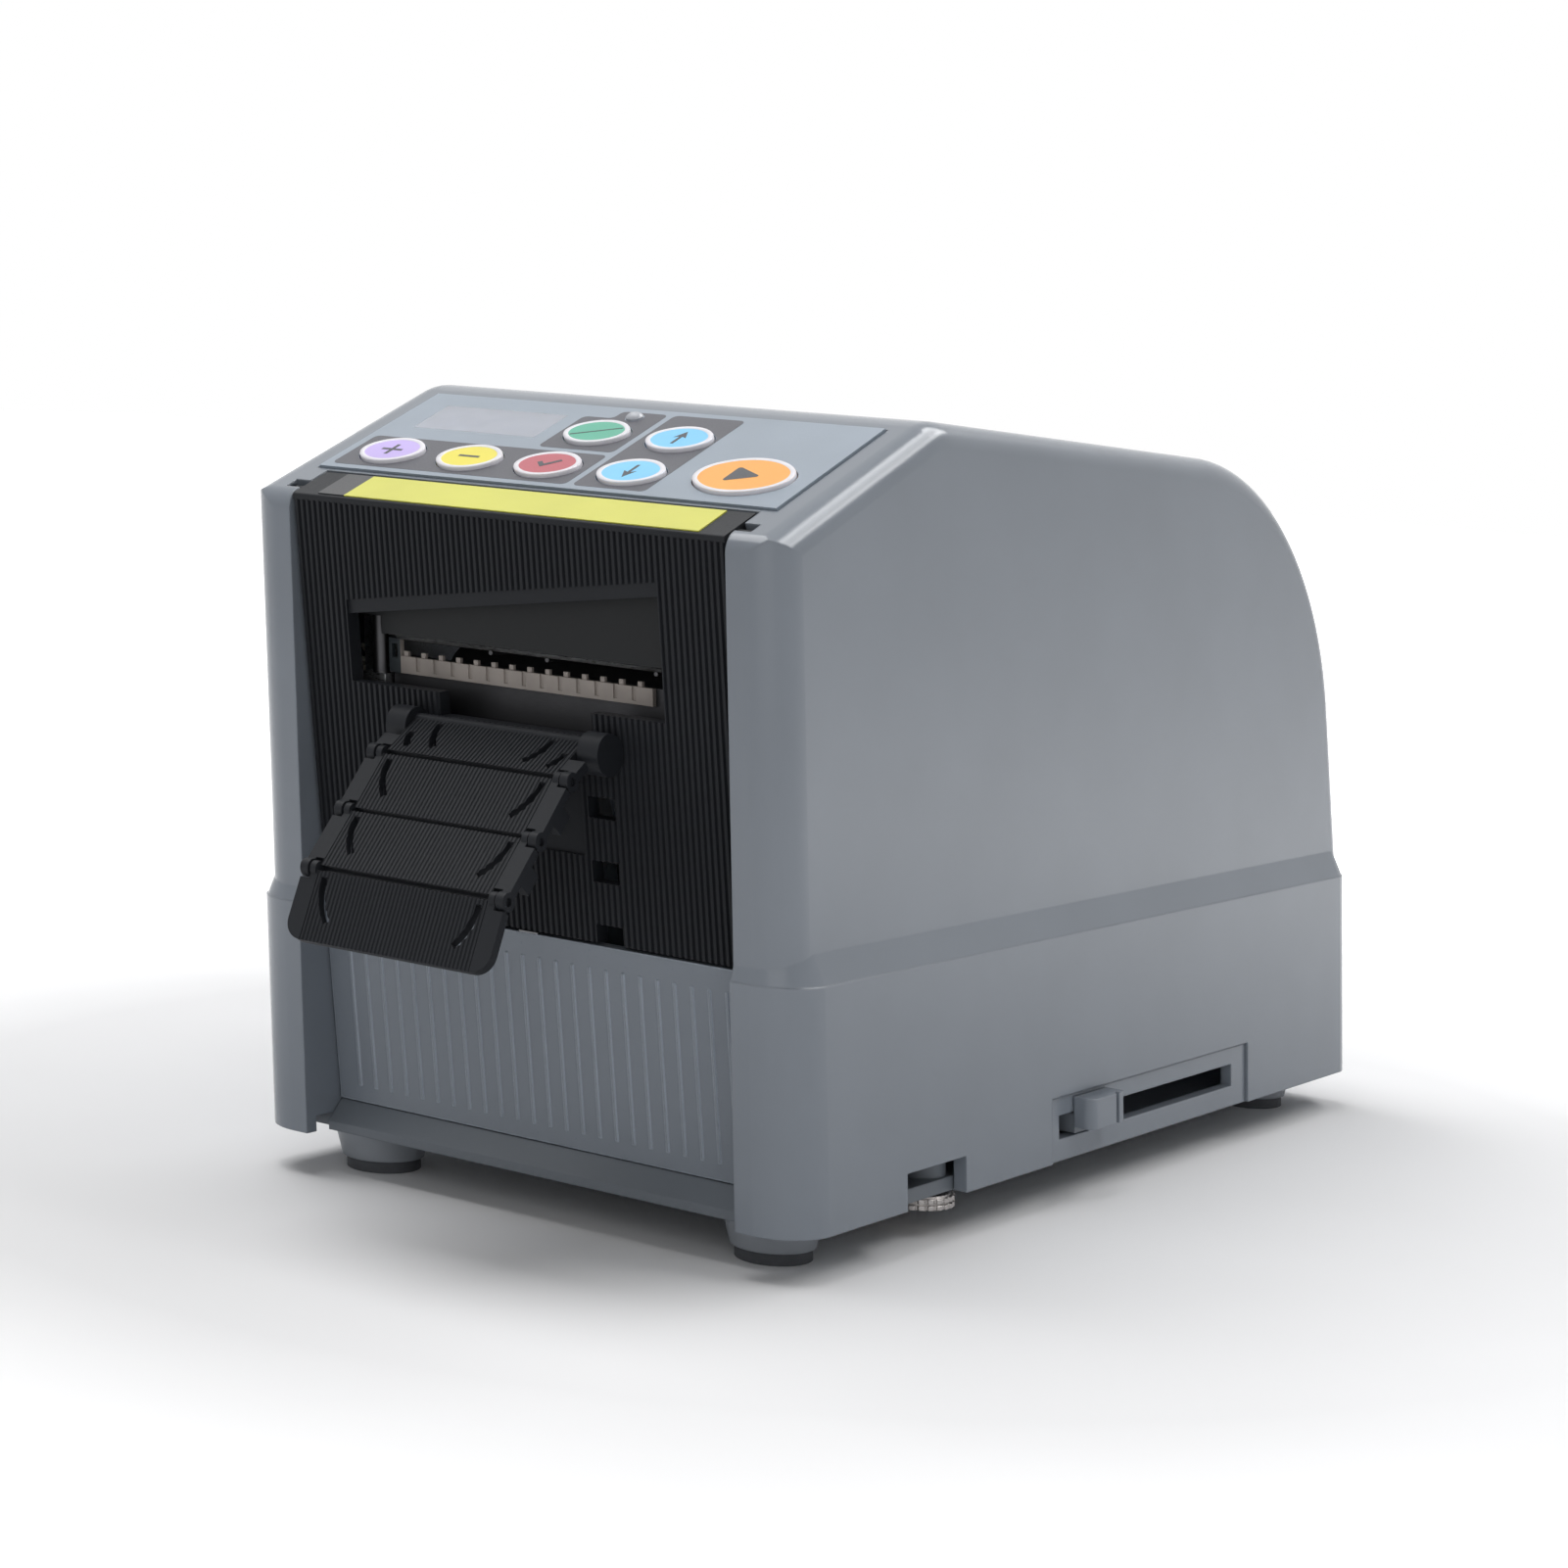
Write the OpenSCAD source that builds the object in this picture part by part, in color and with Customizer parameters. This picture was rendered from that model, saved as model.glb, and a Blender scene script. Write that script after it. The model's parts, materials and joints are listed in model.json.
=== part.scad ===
// Desktop automatic tape dispenser: grey housing, ribbed front cover with a folding tray,
// feed and cutter drive.
// Millimetres. Front faces -Y, the slider side is +X, feet stand on z = 0.

/* [Body] */
// width across the side walls
body_w = 116; // [110:0.5:124]
// length of the skirt
body_l = 213; // [207:0.5:225]
// height to the ridge
body_h = 140; // [137:0.5:146]
// height of the walls' bottom edge above the desk
foot_h = 7.7; // [6.5:0.1:9]
// wall thickness of the housing
wall = 2.6; // [2:0.1:3]
// height of the skirt's top edge
skirt_top = 49; // [46:0.5:52]
// height of the sloped shoulder band
shoulder_h = 5; // [3:0.5:7]
// how far the upper side walls stand in from the skirt
side_inset = 2.2; // [1.5:0.1:3]
// how far the upper ends stand in from the skirt
end_inset = 1.2; // [0.8:0.1:2]
// radius of the upright front corners of the upper walls
front_r = 7; // [5:0.5:9]
// radius along the top and back edges of the side walls
edge_r = 4.5; // [3:0.5:5.5]
// width of each front pillar
pillar_w = 12.5; // [11:0.5:13]
// depth of the pillar's inner return wall
return_d = 15.5; // [14:0.5:17]
// slope of the keypad deck in degrees
slope_a = 21.5; // [20:0.5:23]
// distance of the ridge behind the front
ridge_back = 51.5; // [50:0.5:54]
// radius of the ridge
ridge_r = 16; // [10:1:20]
// fall of the top towards the back in degrees
top_fall = 3.1; // [2:0.1:4]
// radius of the big curve at the back
back_r = 58; // [50:1:62]
// lean of the back edge in degrees
back_lean = 7.2; // [6:0.2:8]

/* [Front] */
// lean of the front face in degrees
fascia_a = 4; // [3.5:0.1:4.5]
// thickness of the front cover
cover_t = 3; // [2.6:0.1:3.2]
// height of the cover's bottom edge
cover_z0 = 50; // [48:0.5:51]
// length of the cover's top strip along the slope
strip_u = 10.4; // [10.2:0.1:11]
// place of the cover's hinge pins along the slope
hinge_u = 4.7; // [4.5:0.1:5]
// radius of the cover's hinge pins
hinge_r = 1.5; // [1.2:0.1:1.7]
// pitch of the cover's ribs
rib_pitch = 1.2; // [1:0.1:1.6]
// depth of the grooves between ribs
rib_depth = 0.5; // [0.3:0.05:0.7]
// room beside the tape in the outlet window
window_side = 3; // [1:0.5:4]
// place of the window's middle
window_mid = -1.8; // [-2.5:0.1:0]
// drop of the window's sill below the tape path
sill_drop = 6.3; // [5.5:0.1:6.7]
// height of the window at its left end
window_h_left = 11.7; // [10:0.1:13]
// height of the window at its right end
window_h_right = 20.7; // [18:0.1:21]
// height of the smooth border above the window
border_h = 2.4; // [1.5:0.1:3]
// depth of the yellow band along the slope
band_u = 8.8; // [6:0.1:8.8]
// length of the yellow band
band_w = 79.5; // [60:0.5:84]
// thickness of the yellow band
band_t = 0.4; // [0.3:0.05:0.6]
// gap between the lower front panel and the cover
panel_gap = 0.5; // [0.45:0.05:0.8]
// bottom height of the lower front panel
panel_z0 = 13; // [12.5:0.1:14]
// thickness of the lower front panel
panel_t = 2.5; // [2:0.1:3]
// number of raised lines on the lower panel
panel_lines = 24; // [16:1:25]
// pitch of the raised lines
panel_pitch = 3.5; // [3:0.1:3.6]
// width of a raised line
line_w = 0.5; // [0.4:0.05:0.8]
// height of a raised line
line_t = 0.25; // [0.2:0.05:0.5]

/* [Tray] */
// width of the tray
tray_w = 42; // [38:1:46]
// length of the first tray plate from the hinge to its joint
tray_l1 = 10.3; // [9.8:0.1:11]
// length of one further tray plate from joint to joint
tray_l = 12.6; // [12:0.1:14]
// thickness of the tray plates
tray_t = 1.6; // [1.4:0.1:1.8]
// slope of the first plate from upright in degrees
tray_a1 = 58; // [54:1:60]
// slope of the second plate
tray_a2 = 44; // [40:1:48]
// slope of the third plate
tray_a3 = 45; // [40:1:48]
// slope of the fourth plate
tray_a4 = 27; // [24:1:34]
// distance of the tray's hinge in front of the cover
tray_out = 3.3; // [3.2:0.1:3.8]
// drop of the tray's hinge below the window sill
tray_drop = 4.6; // [4.2:0.1:5]
// pitch of the tray's ribs
tray_pitch = 0.8; // [0.7:0.05:1.2]
// depth of the grooves between the tray's ribs
tray_groove = 0.22; // [0.15:0.01:0.4]
// width of the smooth margin at the tray's sides
tray_margin = 3.2; // [2:0.1:4]
// corner radius of the tray's last plate
tray_corner = 3.4; // [2:0.1:5.6]
// radius of the tray's joint pins
tray_pin_r = 0.7; // [0.6:0.05:0.8]
// depth of the tray's side skirts
tray_skirt = 2.4; // [1.5:0.1:2.6]

/* [Keypad] */
// width of the deck beside the overlay
overlay_side = 10; // [9.5:0.1:11]
// length of the overlay along the slope
overlay_u = 36.2; // [36:0.1:37]
// thickness of the overlay
overlay_t = 1; // [0.8:0.1:1.2]
// width of a small key
key_w = 12.6; // [11:0.2:13]
// height of a small key
key_h = 10.6; // [9:0.2:11]
// width of the start key
start_w = 18.5; // [16:0.5:19]
// height of the start key
start_h = 15; // [13:0.5:15]
// travel of the keys
key_travel = 0.5; // [0.3:0.1:0.6]
// width of the display
lcd_w = 27; // [26:0.5:30]
// height of the display
lcd_h = 11; // [10:0.5:12]

/* [Drive] */
// widest tape
tape_w = 60; // [56:1:60]
// drop of the tape path below the ridge
nip_drop = 44.8; // [44.4:0.1:45.4]
// radius of the feed roller
feed_r = 9; // [8:0.1:9.2]
// radius of the pinch roller
pinch_r = 6; // [5.5:0.1:6.2]
// distance of the feed roller behind the front
feed_back = 32.5; // [32:0.1:34]
// radius of the feed shaft
feed_shaft_r = 3; // [2.5:0.1:3.2]
// radius of the smaller shafts
shaft_r = 2; // [1.7:0.1:2.1]
// module of the gears
gear_m = 0.8; // [0.8:0.01:0.82]
// teeth of the pinions and of the crank gear
pinion_teeth = 16; // [16:1:16]
// teeth of the feed gear and of the idler gear
wheel_teeth = 40; // [40:1:40]
// face width of the gears
gear_w = 3.5; // [3:0.1:3.6]
// radius of the motors
motor_r = 12; // [10:0.5:12]
// length of the motors
motor_l = 28; // [24:0.5:30]
// thickness of the frame plates
plate_t = 2.4; // [2:0.1:2.6]
// distance of a frame plate outside the well's wall face
plate_side = 3.5; // [3:0.1:4]
// throw of the crank
crank_throw = 2.7; // [2.4:0.1:2.8]
// radius of the crank pin
crank_pin_r = 1.2; // [1:0.05:1.3]
// distance of the blade's face behind the front
blade_back = 9.5; // [9.4:0.05:9.7]
// number of comb fingers
comb_n = 14; // [10:1:16]

/* [Roll support] */
// room between a support roller's end and the well's wall
roll_side = 3.5; // [3:0.1:4.5]
// thickness of the well walls
well_t = 2.2; // [1.8:0.1:2.6]
// distance of the bulkhead behind the front
well_back = 68; // [67:0.5:70]
// height of the open back edge of the well
back_z = 56; // [50:1:70]
// radius of the support rollers
support_r = 8; // [6:0.5:9]
// height of the support rollers' axles
support_z = 26; // [24.5:0.5:28]
// distance of the front support roller behind the front, at rest
carriage_back = 98.4; // [97:0.1:101]
// travel of the carriage
carriage_travel = 50; // [40:1:50]
// distance of the rear support roller ahead of the back
rear_ahead = 24; // [23.5:0.5:28]
// length of the slider knob
knob_l = 12.5; // [11.5:0.5:14]
// how far the knob stands out of the side wall
knob_out = 3.6; // [3:0.1:4.5]

/* [Feet and back] */
// distance of the feet from the centre line
foot_x = 42; // [38:0.5:43]
// distance of the feet from the middle
foot_y = 90; // [86:0.5:92]
// radius of a foot
foot_r = 8.5; // [7.5:0.1:9]
// taper of a foot towards its pad
foot_taper = 1.2; // [0.4:0.1:1.4]
// radius of a foot pad
pad_r = 6.6; // [5.5:0.1:7]
// thickness of a foot pad
pad_t = 2.2; // [1.5:0.1:3]
// thickness of the base floor
floor_t = 2.5; // [2:0.1:3]
// radius of the thumb screw's knurled head
thumb_r = 6.5; // [5.5:0.1:6.8]
// radius of the thumb screw's stem
thumb_stem_r = 2.5; // [2:0.1:3]
// radius of the housing screws
screw_r = 1.5; // [1.3:0.1:1.7]

/* [Hidden] */
$fn = 64;
// side clearance of parts that stand still
seat = 0.3;
// radial clearance of running fits
run = 0.05;
// radial clearance of parts fixed on a shaft
bond = 0.01;
// clearance between moving curved faces
free = 0.35;
// roundings meet their flats at a slight angle
round_k = 1.0002;
// the same for the ends of the ovals
oval_k = 1.001;
// narrow ledge at the foot of the shoulder
crease = 0.2;
// part of a radius by which straight roundings run on into an arc
lap_k = 0.035;
hx = body_w/2;
yf = -body_l/2;
yb = body_l/2;
ux = hx - side_inset;
uyf = yf + end_inset;
uyb = yb - end_inset;
bay_x = hx - pillar_w;
base_top = foot_h + floor_t;
shoulder_top = skirt_top + shoulder_h;
nip_z = body_h - nip_drop;
sill_z = nip_z - sill_drop;
panel_top = cover_z0 - panel_gap;
overlay_w = body_w - 2*overlay_side;
roller_x = tape_w/2 + 0.5;
well_x = roller_x + roll_side;
plate_x = well_x + plate_side;
window_w = tape_w + 2*window_side;

// places on the side outline: front, slope, top and back lines
function unit(v) = v/norm(v);
function dir(a) = [cos(a), sin(a)];
function nrm(a) = [-sin(a), cos(a)];
function cross2(a, b) = a[0]*b[1] - a[1]*b[0];
function meet(p, a, q, b) = p + dir(a)*cross2(q - p, dir(b))/cross2(dir(a), dir(b));
ridge_tilt = (slope_a - top_fall)/2;
ridge_half = (180 - slope_a - top_fall)/2;
ridge_p = [yf + ridge_back, body_h + ridge_r*(cos(ridge_tilt)/sin(ridge_half) - 1)];
back_p = [uyb, shoulder_top];
back_dir = -90 + back_lean;
function line_p(i, d) = i == 0 ? [uyf + d, 0] : i == 1 ? ridge_p - nrm(slope_a)*d
    : i == 2 ? ridge_p - nrm(-top_fall)*d : back_p - nrm(back_dir)*d;
function line_a(i) = [90, slope_a, -top_fall, back_dir][i];
function corner(i, d) = meet(line_p(i, d), line_a(i), line_p(i + 1, d), line_a(i + 1));
function turn(i) = (line_a(i) - line_a(i + 1))/2;
function tangent_in(i, r) = corner(i, 0) - dir(line_a(i))*r*tan(turn(i));
function tangent_out(i, r) = corner(i, 0) + dir(line_a(i + 1))*r*tan(turn(i));
function arc_c(i, r) = tangent_in(i, r) - nrm(line_a(i))*r;

// local frames
slope_0 = corner(0, 0);
cover_p = slope_0 + dir(slope_a)*0.5;
function on_slope_p(u, n) = slope_0 + dir(slope_a)*u + nrm(slope_a)*n;
function fascia_y(z) = cover_p[0] + (cover_p[1] - z)*tan(fascia_a);
module on_slope(u = 0, n = 0) {
    translate([0, on_slope_p(u, n)[0], on_slope_p(u, n)[1]]) rotate([slope_a, 0, 0]) children();
}
module on_fascia(z) {
    translate([0, fascia_y(z), z]) rotate([fascia_a, 0, 0]) children();
}
module along_x(x0, x1) {
    translate([x0, 0, 0]) rotate([90, 0, 90]) linear_extrude(x1 - x0) children();
}
module rod_x(x0, x1, y, z, r) {
    translate([x0, y, z]) rotate([0, 90, 0]) cylinder(r = r, h = x1 - x0);
}
module box(x0, x1, y0, y1, z0, z1) {
    translate([x0, y0, z0]) cube([x1 - x0, y1 - y0, z1 - z0]);
}
module both() {
    children();
    mirror([1, 0, 0]) children();
}

// tray joints, from the cover's bosses downwards
tray_a = [tray_a1, tray_a2, tray_a3, tray_a4];
tray_0 = [fascia_y(sill_z - tray_drop) - tray_out, sill_z - tray_drop];
function tray_down(a) = [-sin(a), -cos(a)];
tray_1 = tray_0 + tray_down(tray_a[0])*tray_l1;
tray_2 = tray_1 + tray_down(tray_a[1])*tray_l;
tray_3 = tray_2 + tray_down(tray_a[2])*tray_l;
tray_j = [tray_0, tray_1, tray_2, tray_3];
tray_tip = tray_3 + tray_down(tray_a[3])*tray_l;
tray_front = tray_tip[0] - cos(tray_a[3])*tray_t/2;
tray_pivot_r = 1;
tray_rod_r = tray_t/2 + 0.25;
boss_r = 3.6;
boss_low = 1.5;
boss_top = 4.2;
boss_w = 4.2;
boss_end = 1.2;
boss_x = tray_w/2 - 3;
sill_cut = 4;
boss_reach = boss_low + boss_r + 0.6;
joint_gap = 0.8;
barrel_r = 1.6;
barrel_w = 1.6;
lug_w = 1.2;
lug_r = 1.4;
knuckle_x = tray_w/2 - barrel_w;
lug_x = knuckle_x - seat - lug_w;

// drive places
feed_y = yf + feed_back;
feed_z = nip_z - feed_r;
pinch_z = nip_z + free + pinch_r;
gear_x = plate_x + plate_t + 0.8;
wheel_pr = gear_m*wheel_teeth/2;
pinion_pr = gear_m*pinion_teeth/2;
gear_d = wheel_pr + pinion_pr;
feed_motor_p = [feed_y, feed_z - gear_d];
crank_p = [feed_y - 13, nip_z + 10.3];
idler_a = 15;
idler_p = crank_p + [sin(idler_a), -cos(idler_a)]*gear_d;
cutter_motor_p = idler_p + [sin(idler_a), -cos(idler_a)]*gear_d;
blade_y = yf + blade_back;
carrier_t = 2;
blade_t = 1;
carrier_z0 = nip_z + 2.2;
carrier_z1 = carrier_z0 + 15.4;
rod_r = 1.5;
rod_x0 = plate_x - 2.9;
rod_y = blade_y + 2.1;
comb_w = tape_w - 6.4;
comb_x0 = -2.9 - comb_w/2;
comb_h = 3;
comb_y = blade_y + blade_t + seat;
comb_t = 1;

// roll support places
well_y0 = yf + well_back;
carriage_y = yf + carriage_back;
rear_y = yb - rear_ahead;
well_foot = base_top + 9.8;
slot_z0 = base_top + 1.5;
slot_z1 = slot_z0 + 4.4;
side_y0 = carriage_y - knob_l/2 - 8.7;
side_y1 = carriage_y + carriage_travel + knob_l/2 + 8.4;
side_z1 = slot_z1 + 3.6;
notch_y0 = yf + 33.5;
notch_y1 = yf + 53;
notch_z1 = base_top + 4;
thumb_p = [hx - 8.5, yf + 50.5];
screw_y = [yf + 76, yb - 27];
screw_x = hx - 8.4;

// the origin is the middle of the whole part's footprint
mid_x = knob_out/2;
mid_y = (tray_front + yb)/2;
module place() {
    translate([-mid_x, -mid_y, 0]) children();
}

grey = [0.50, 0.53, 0.56];
dark_grey = [0.36, 0.38, 0.41];
black = [0.10, 0.10, 0.11];
rubber = [0.14, 0.14, 0.14];
steel = [0.72, 0.73, 0.74];
brass = [0.78, 0.66, 0.35];
board = [0.12, 0.35, 0.22];

// cuts the tip of corner p between the edges to a and b
module corner_cut(a, p, b, r) {
    u = unit(a - p);
    v = unit(b - p);
    half = acos(u*v)/2;
    c = p + unit(u + v)*r/sin(half);
    difference() {
        polygon([p + u*r/tan(half), c, p + v*r/tan(half), p - unit(u + v)]);
        translate(c) circle(r*round_k, $fn = 96);
    }
}
module side_profile(d) {
    p = [corner(0, d), corner(1, d), corner(2, d)];
    foot_f = [uyf + d, 0];
    foot_b = meet(line_p(3, d), back_dir, [0, 0], 0);
    difference() {
        polygon([foot_f, p[0], p[1], p[2], foot_b]);
        corner_cut(foot_f, p[0], p[1], max(4 - d, 0.8));
        corner_cut(p[0], p[1], p[2], ridge_r - d);
        corner_cut(p[1], p[2], foot_b, back_r - d);
    }
}
module plan(x, y0, y1, rf, rb) {
    difference() {
        translate([-x, y0]) square([2*x, y1 - y0]);
        for (s = [-1, 1]) {
            corner_cut([s*x, y0 + 20], [s*x, y0], [0, y0], rf);
            corner_cut([s*x, y1 - 20], [s*x, y1], [0, y1], rb);
        }
    }
}
// removes a wall's upper edge outside its rounding; n is measured outwards
module edge_tool(x, r) {
    difference() {
        translate([x - r, -r]) square(r + 1.5);
        translate([x - r, -r]) circle(r*round_k, $fn = 96);
    }
}
module edge_line(p, q) {
    a = atan2(q[1] - p[1], q[0] - p[0]);
    translate([0, p[0], p[1]]) rotate([a, 0, 0]) translate([0, norm(q - p), 0]) rotate([90, 0, 0])
        linear_extrude(norm(q - p)) edge_tool(ux, edge_r);
}
module edge_arc(i, r) {
    a1 = line_a(i) + 90;
    a0 = line_a(i + 1) + 90;
    c = arc_c(i, r);
    translate([0, c[0], c[1]]) rotate([0, 90, 0]) rotate([0, 0, a0 + 90])
        rotate_extrude(angle = a1 - a0, $fn = 128) difference() {
            translate([r*round_k - edge_r, ux - edge_r]) square(edge_r + 1.5);
            translate([r*round_k - edge_r, ux - edge_r]) circle(edge_r*round_k, $fn = 96);
        }
}
// how far a straight rounding runs on past the start of an arc, along line i
function lap(i, r) = dir(line_a(i))*r*lap_k;
module outer_body() {
    translate([0, 0, foot_h]) linear_extrude(skirt_top - foot_h)
        plan(hx, yf, yb, front_r + side_inset, edge_r + side_inset);
    shoulder();
    difference() {
        intersection() {
            along_x(-ux, ux) side_profile(0);
            translate([0, 0, skirt_top]) linear_extrude(body_h) plan(ux, uyf, uyb + 1, front_r, 0.5);
        }
        both() edge_line(slope_0 - dir(slope_a)*4, tangent_in(1, ridge_r) + lap(1, ridge_r));
        both() edge_arc(1, ridge_r);
        both() edge_line(tangent_out(1, ridge_r) - lap(2, ridge_r),
            tangent_in(2, back_r) + lap(2, back_r));
        both() edge_arc(2, back_r);
        both() edge_line(tangent_out(2, back_r) - lap(3, back_r),
            back_p + dir(back_dir)*(shoulder_h + 1));
    }
}
// sloped band between the skirt and the upper walls: prisms and corner cones
module shoulder() {
    rf = front_r + side_inset;
    rb = edge_r + side_inset;
    rotate([90, 0, 0]) translate([0, 0, -yb + rb]) linear_extrude(yb - rb - yf - rf)
        polygon([[-hx + crease, skirt_top], [hx - crease, skirt_top],
            [ux, shoulder_top], [-ux, shoulder_top]]);
    along_x(-hx + rf, hx - rf)
        polygon([[yf + crease, skirt_top], [0, skirt_top],
            [0, shoulder_top], [yf + side_inset, shoulder_top]]);
    along_x(-hx + rb, hx - rb)
        polygon([[0, skirt_top], [yb - crease, skirt_top],
            [yb - side_inset, shoulder_top], [0, shoulder_top]]);
    both() {
        translate([hx - rf, yf + rf, skirt_top]) cylinder(r1 = rf - crease, r2 = front_r, h = shoulder_h);
        translate([hx - rb, yb - rb, skirt_top]) cylinder(r1 = rb - crease, r2 = edge_r, h = shoulder_h);
    }
}
deck_u0 = strip_u + 0.7;
overlay_u0 = deck_u0 + 1.1;
overlay_n = 0.4;
aperture_x = overlay_w/2 - 1.8;
aperture_u0 = overlay_u0 + 1.6;
aperture_u1 = overlay_u0 + overlay_u - 1.4;
board_n = -7;
post_x = overlay_w/2 + 1;
post_u = [aperture_u0 + 3, aperture_u1 - 3];
hinge_p = on_slope_p(hinge_u, -hinge_r - 0.6);
// inside of the shell, left solid where returns, well walls and bosses stand
module shell_inside() {
    difference() {
        union() {
            translate([0, 0, foot_h - 1]) linear_extrude(skirt_top - foot_h)
                plan(hx - wall, yf + wall, yb - wall, front_r, edge_r);
            intersection() {
                along_x(-ux + wall, ux - wall) side_profile(wall);
                box(-hx, hx, uyf + wall, uyb - wall, foot_h - 1, body_h);
            }
        }
        both() {
            box(bay_x, bay_x + wall, yf, yf + return_d, base_top + seat, body_h);
            box(well_x, well_x + well_t, well_y0 - well_t, yb, well_foot, body_h);
            for (y = screw_y) {
                translate([screw_x, y, base_top + seat]) cylinder(r = 3.6, h = 24);
                box(screw_x, hx - wall + 1, y - 1.2, y + 1.2, base_top + seat, base_top + 24);
            }
            for (u = post_u)
                on_slope(u, 0) translate([post_x, 0, board_n]) cylinder(r = 2.4, h = -board_n);
        }
        box(-hx, hx, well_y0 - well_t, well_y0, well_foot, body_h);
    }
}
module gear_room(s, p, r) {
    x = s*(gear_x + gear_w/2);
    rod_x(x - gear_w/2 - 0.5, x + gear_w/2 + 0.5, p[0], p[1], r + gear_m + 0.5);
}
module upper_housing() {
    color(grey) place() difference() {
        outer_body();
        shell_inside();
        // front opening, closed by the cover and the lower panel
        along_x(-bay_x, bay_x) polygon([[yf - 1, 0], [yf + return_d, 0],
            [yf + return_d, on_slope_p(deck_u0, -4)[1]], on_slope_p(deck_u0, -4),
            on_slope_p(deck_u0, 12), [yf - 1, on_slope_p(deck_u0, 12)[1]]]);
        // room for gears that reach the returns
        gear_room(1, crank_p, pinion_pr);
        gear_room(1, idler_p, wheel_pr);
        gear_room(-1, [feed_y, feed_z], wheel_pr);
        // tape well, open at the top and above the low back wall
        box(-well_x, well_x, well_y0, yb - wall - 2, 0, body_h + 5);
        box(-well_x, well_x, well_y0, yb + 5, back_z, body_h + 5);
        // slot in the bulkhead for the tape
        box(-tape_w/2 - 2, tape_w/2 + 2, well_y0 - well_t - 1, well_y0 + 1, nip_z - 3, nip_z + 16);
        // slots for the cover's hinge pins
        both() {
            rod_x(bay_x - 1, bay_x + wall + 1, hinge_p[0], hinge_p[1], hinge_r + run);
            on_slope(hinge_u, 0) box(bay_x - 1, bay_x + wall + 0.5, -hinge_r - run, hinge_r + run,
                -hinge_r - 0.6, 6);
        }
        // seat of the overlay and the opening below it
        on_slope(overlay_u0, overlay_n - overlay_t)
            box(-overlay_w/2 - seat, overlay_w/2 + seat, -seat, overlay_u + seat, 0, 5);
        on_slope(0, 0) box(-aperture_x, aperture_x, aperture_u0, aperture_u1, -6, 5);
        // recess for the slider and notch for the thumb screw
        box(ux - wall - 3, hx + 1, side_y0, side_y1, 0, side_z1);
        box(ux - wall - 3, hx + 1, notch_y0, notch_y1, 0, notch_z1);
        // screw holes from below
        both() for (y = screw_y)
            translate([screw_x, y, base_top - 1]) cylinder(r = screw_r + bond, h = 17);
        // power inlet and switch
        translate([jack_x, yb + 1, jack_z]) rotate([90, 0, 0]) cylinder(r = jack_r + bond, h = wall + 4);
        switch_cut(sw_w/2 + bond, sw_h/2 + bond, yb - 12, yb + 1);
        switch_cut(sw_w/2 + 1.2, sw_h/2 + 1.2, yb - 0.8, yb + 1);
    }
}
jack_x = -18;
jack_z = base_top + 14;
jack_r = 4.6;
sw_x = 16;
sw_z = base_top + 17;
sw_w = 12;
sw_h = 19;
module switch_cut(w, h, y0, y1) {
    box(sw_x - w, sw_x + w, y0, y1, sw_z - h, sw_z + h);
}

lip_y = fascia_y(panel_z0) - 3.6;
module base_chassis() {
    fx = hx - wall - seat;
    color(dark_grey) place() difference() {
        union() {
            translate([0, 0, foot_h]) linear_extrude(floor_t)
                plan(fx, fascia_y(panel_z0) - 1, yb - wall - seat, 4, edge_r);
            // bevelled front lip below the panel
            along_x(-bay_x + seat, bay_x - seat) polygon([[lip_y, foot_h], [lip_y, foot_h + 1.6],
                [fascia_y(panel_z0) + 0.2, panel_z0 - 0.2],
                [fascia_y(panel_z0) + panel_t + 2, panel_z0 - 0.2],
                [fascia_y(panel_z0) + panel_t + 2, foot_h]]);
            // stop rib behind the lower panel
            box(-bay_x + 8, bay_x - 8, fascia_y(panel_z0) + panel_t + 0.3,
                fascia_y(panel_z0) + panel_t + 2, foot_h, panel_z0 + 4);
            // guide rails of the carriage
            both() box(well_x - 4.5, well_x - 2.5, carriage_y - 16, rear_y - 8, foot_h, base_top + 0.6);
            // rear axle stands
            both() box(roller_x + seat, roller_x + 2.2, rear_y - 4, rear_y + 4, foot_h, support_z + 5);
            // standoffs of the control board
            both() for (y = [cb_y0 + 4, cb_y1 - 4])
                translate([cb_x - 4, y, foot_h]) cylinder(r = 2.6, h = cb_z - foot_h);
            // stem boss of the thumb screw
            translate([thumb_p[0], thumb_p[1], foot_h]) cylinder(r = 5, h = 8);
        }
        // axle bores
        rod_x(-well_x, well_x, rear_y, support_z, shaft_r + bond);
        translate([thumb_p[0], thumb_p[1], foot_h - 1]) cylinder(r = thumb_stem_r + run, h = 12);
        both() for (y = screw_y) translate([screw_x, y, foot_h - 1]) {
            cylinder(r = screw_r + bond, h = 6);
            cylinder(r = 2*screw_r + bond, h = 2.2);
        }
        for (x = [-foot_x, foot_x], y = [-foot_y, foot_y])
            translate([x, y, foot_h - 1]) cylinder(r = 2.2, h = floor_t + 2);
    }
}
// slotted plate in the side wall's recess
module slider_plate() {
    color(grey) place() difference() {
        box(hx - wall - seat + bond, hx - 0.6, side_y0 + seat, side_y1 - seat, foot_h, side_z1 - seat);
        box(hx - wall - 2, hx + 1, side_y0 + 3.5, side_y1 - 6.3, slot_z0, slot_z1);
    }
}
cb_x = 30;
cb_y0 = feed_y - 15;
cb_y1 = feed_y + 28;
cb_z = base_top + 4;

module lower_front_panel() {
    h = (panel_top - panel_z0)/cos(fascia_a);
    color(grey) place() on_fascia(panel_z0) {
        box(-bay_x + seat, bay_x - seat, 0, panel_t, 0, h);
        for (i = [0 : panel_lines - 1])
            translate([(i - (panel_lines - 1)/2)*panel_pitch - line_w/2, -line_t, 3])
                cube([line_w, line_t + 0.15, h - 7]);
    }
}

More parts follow.
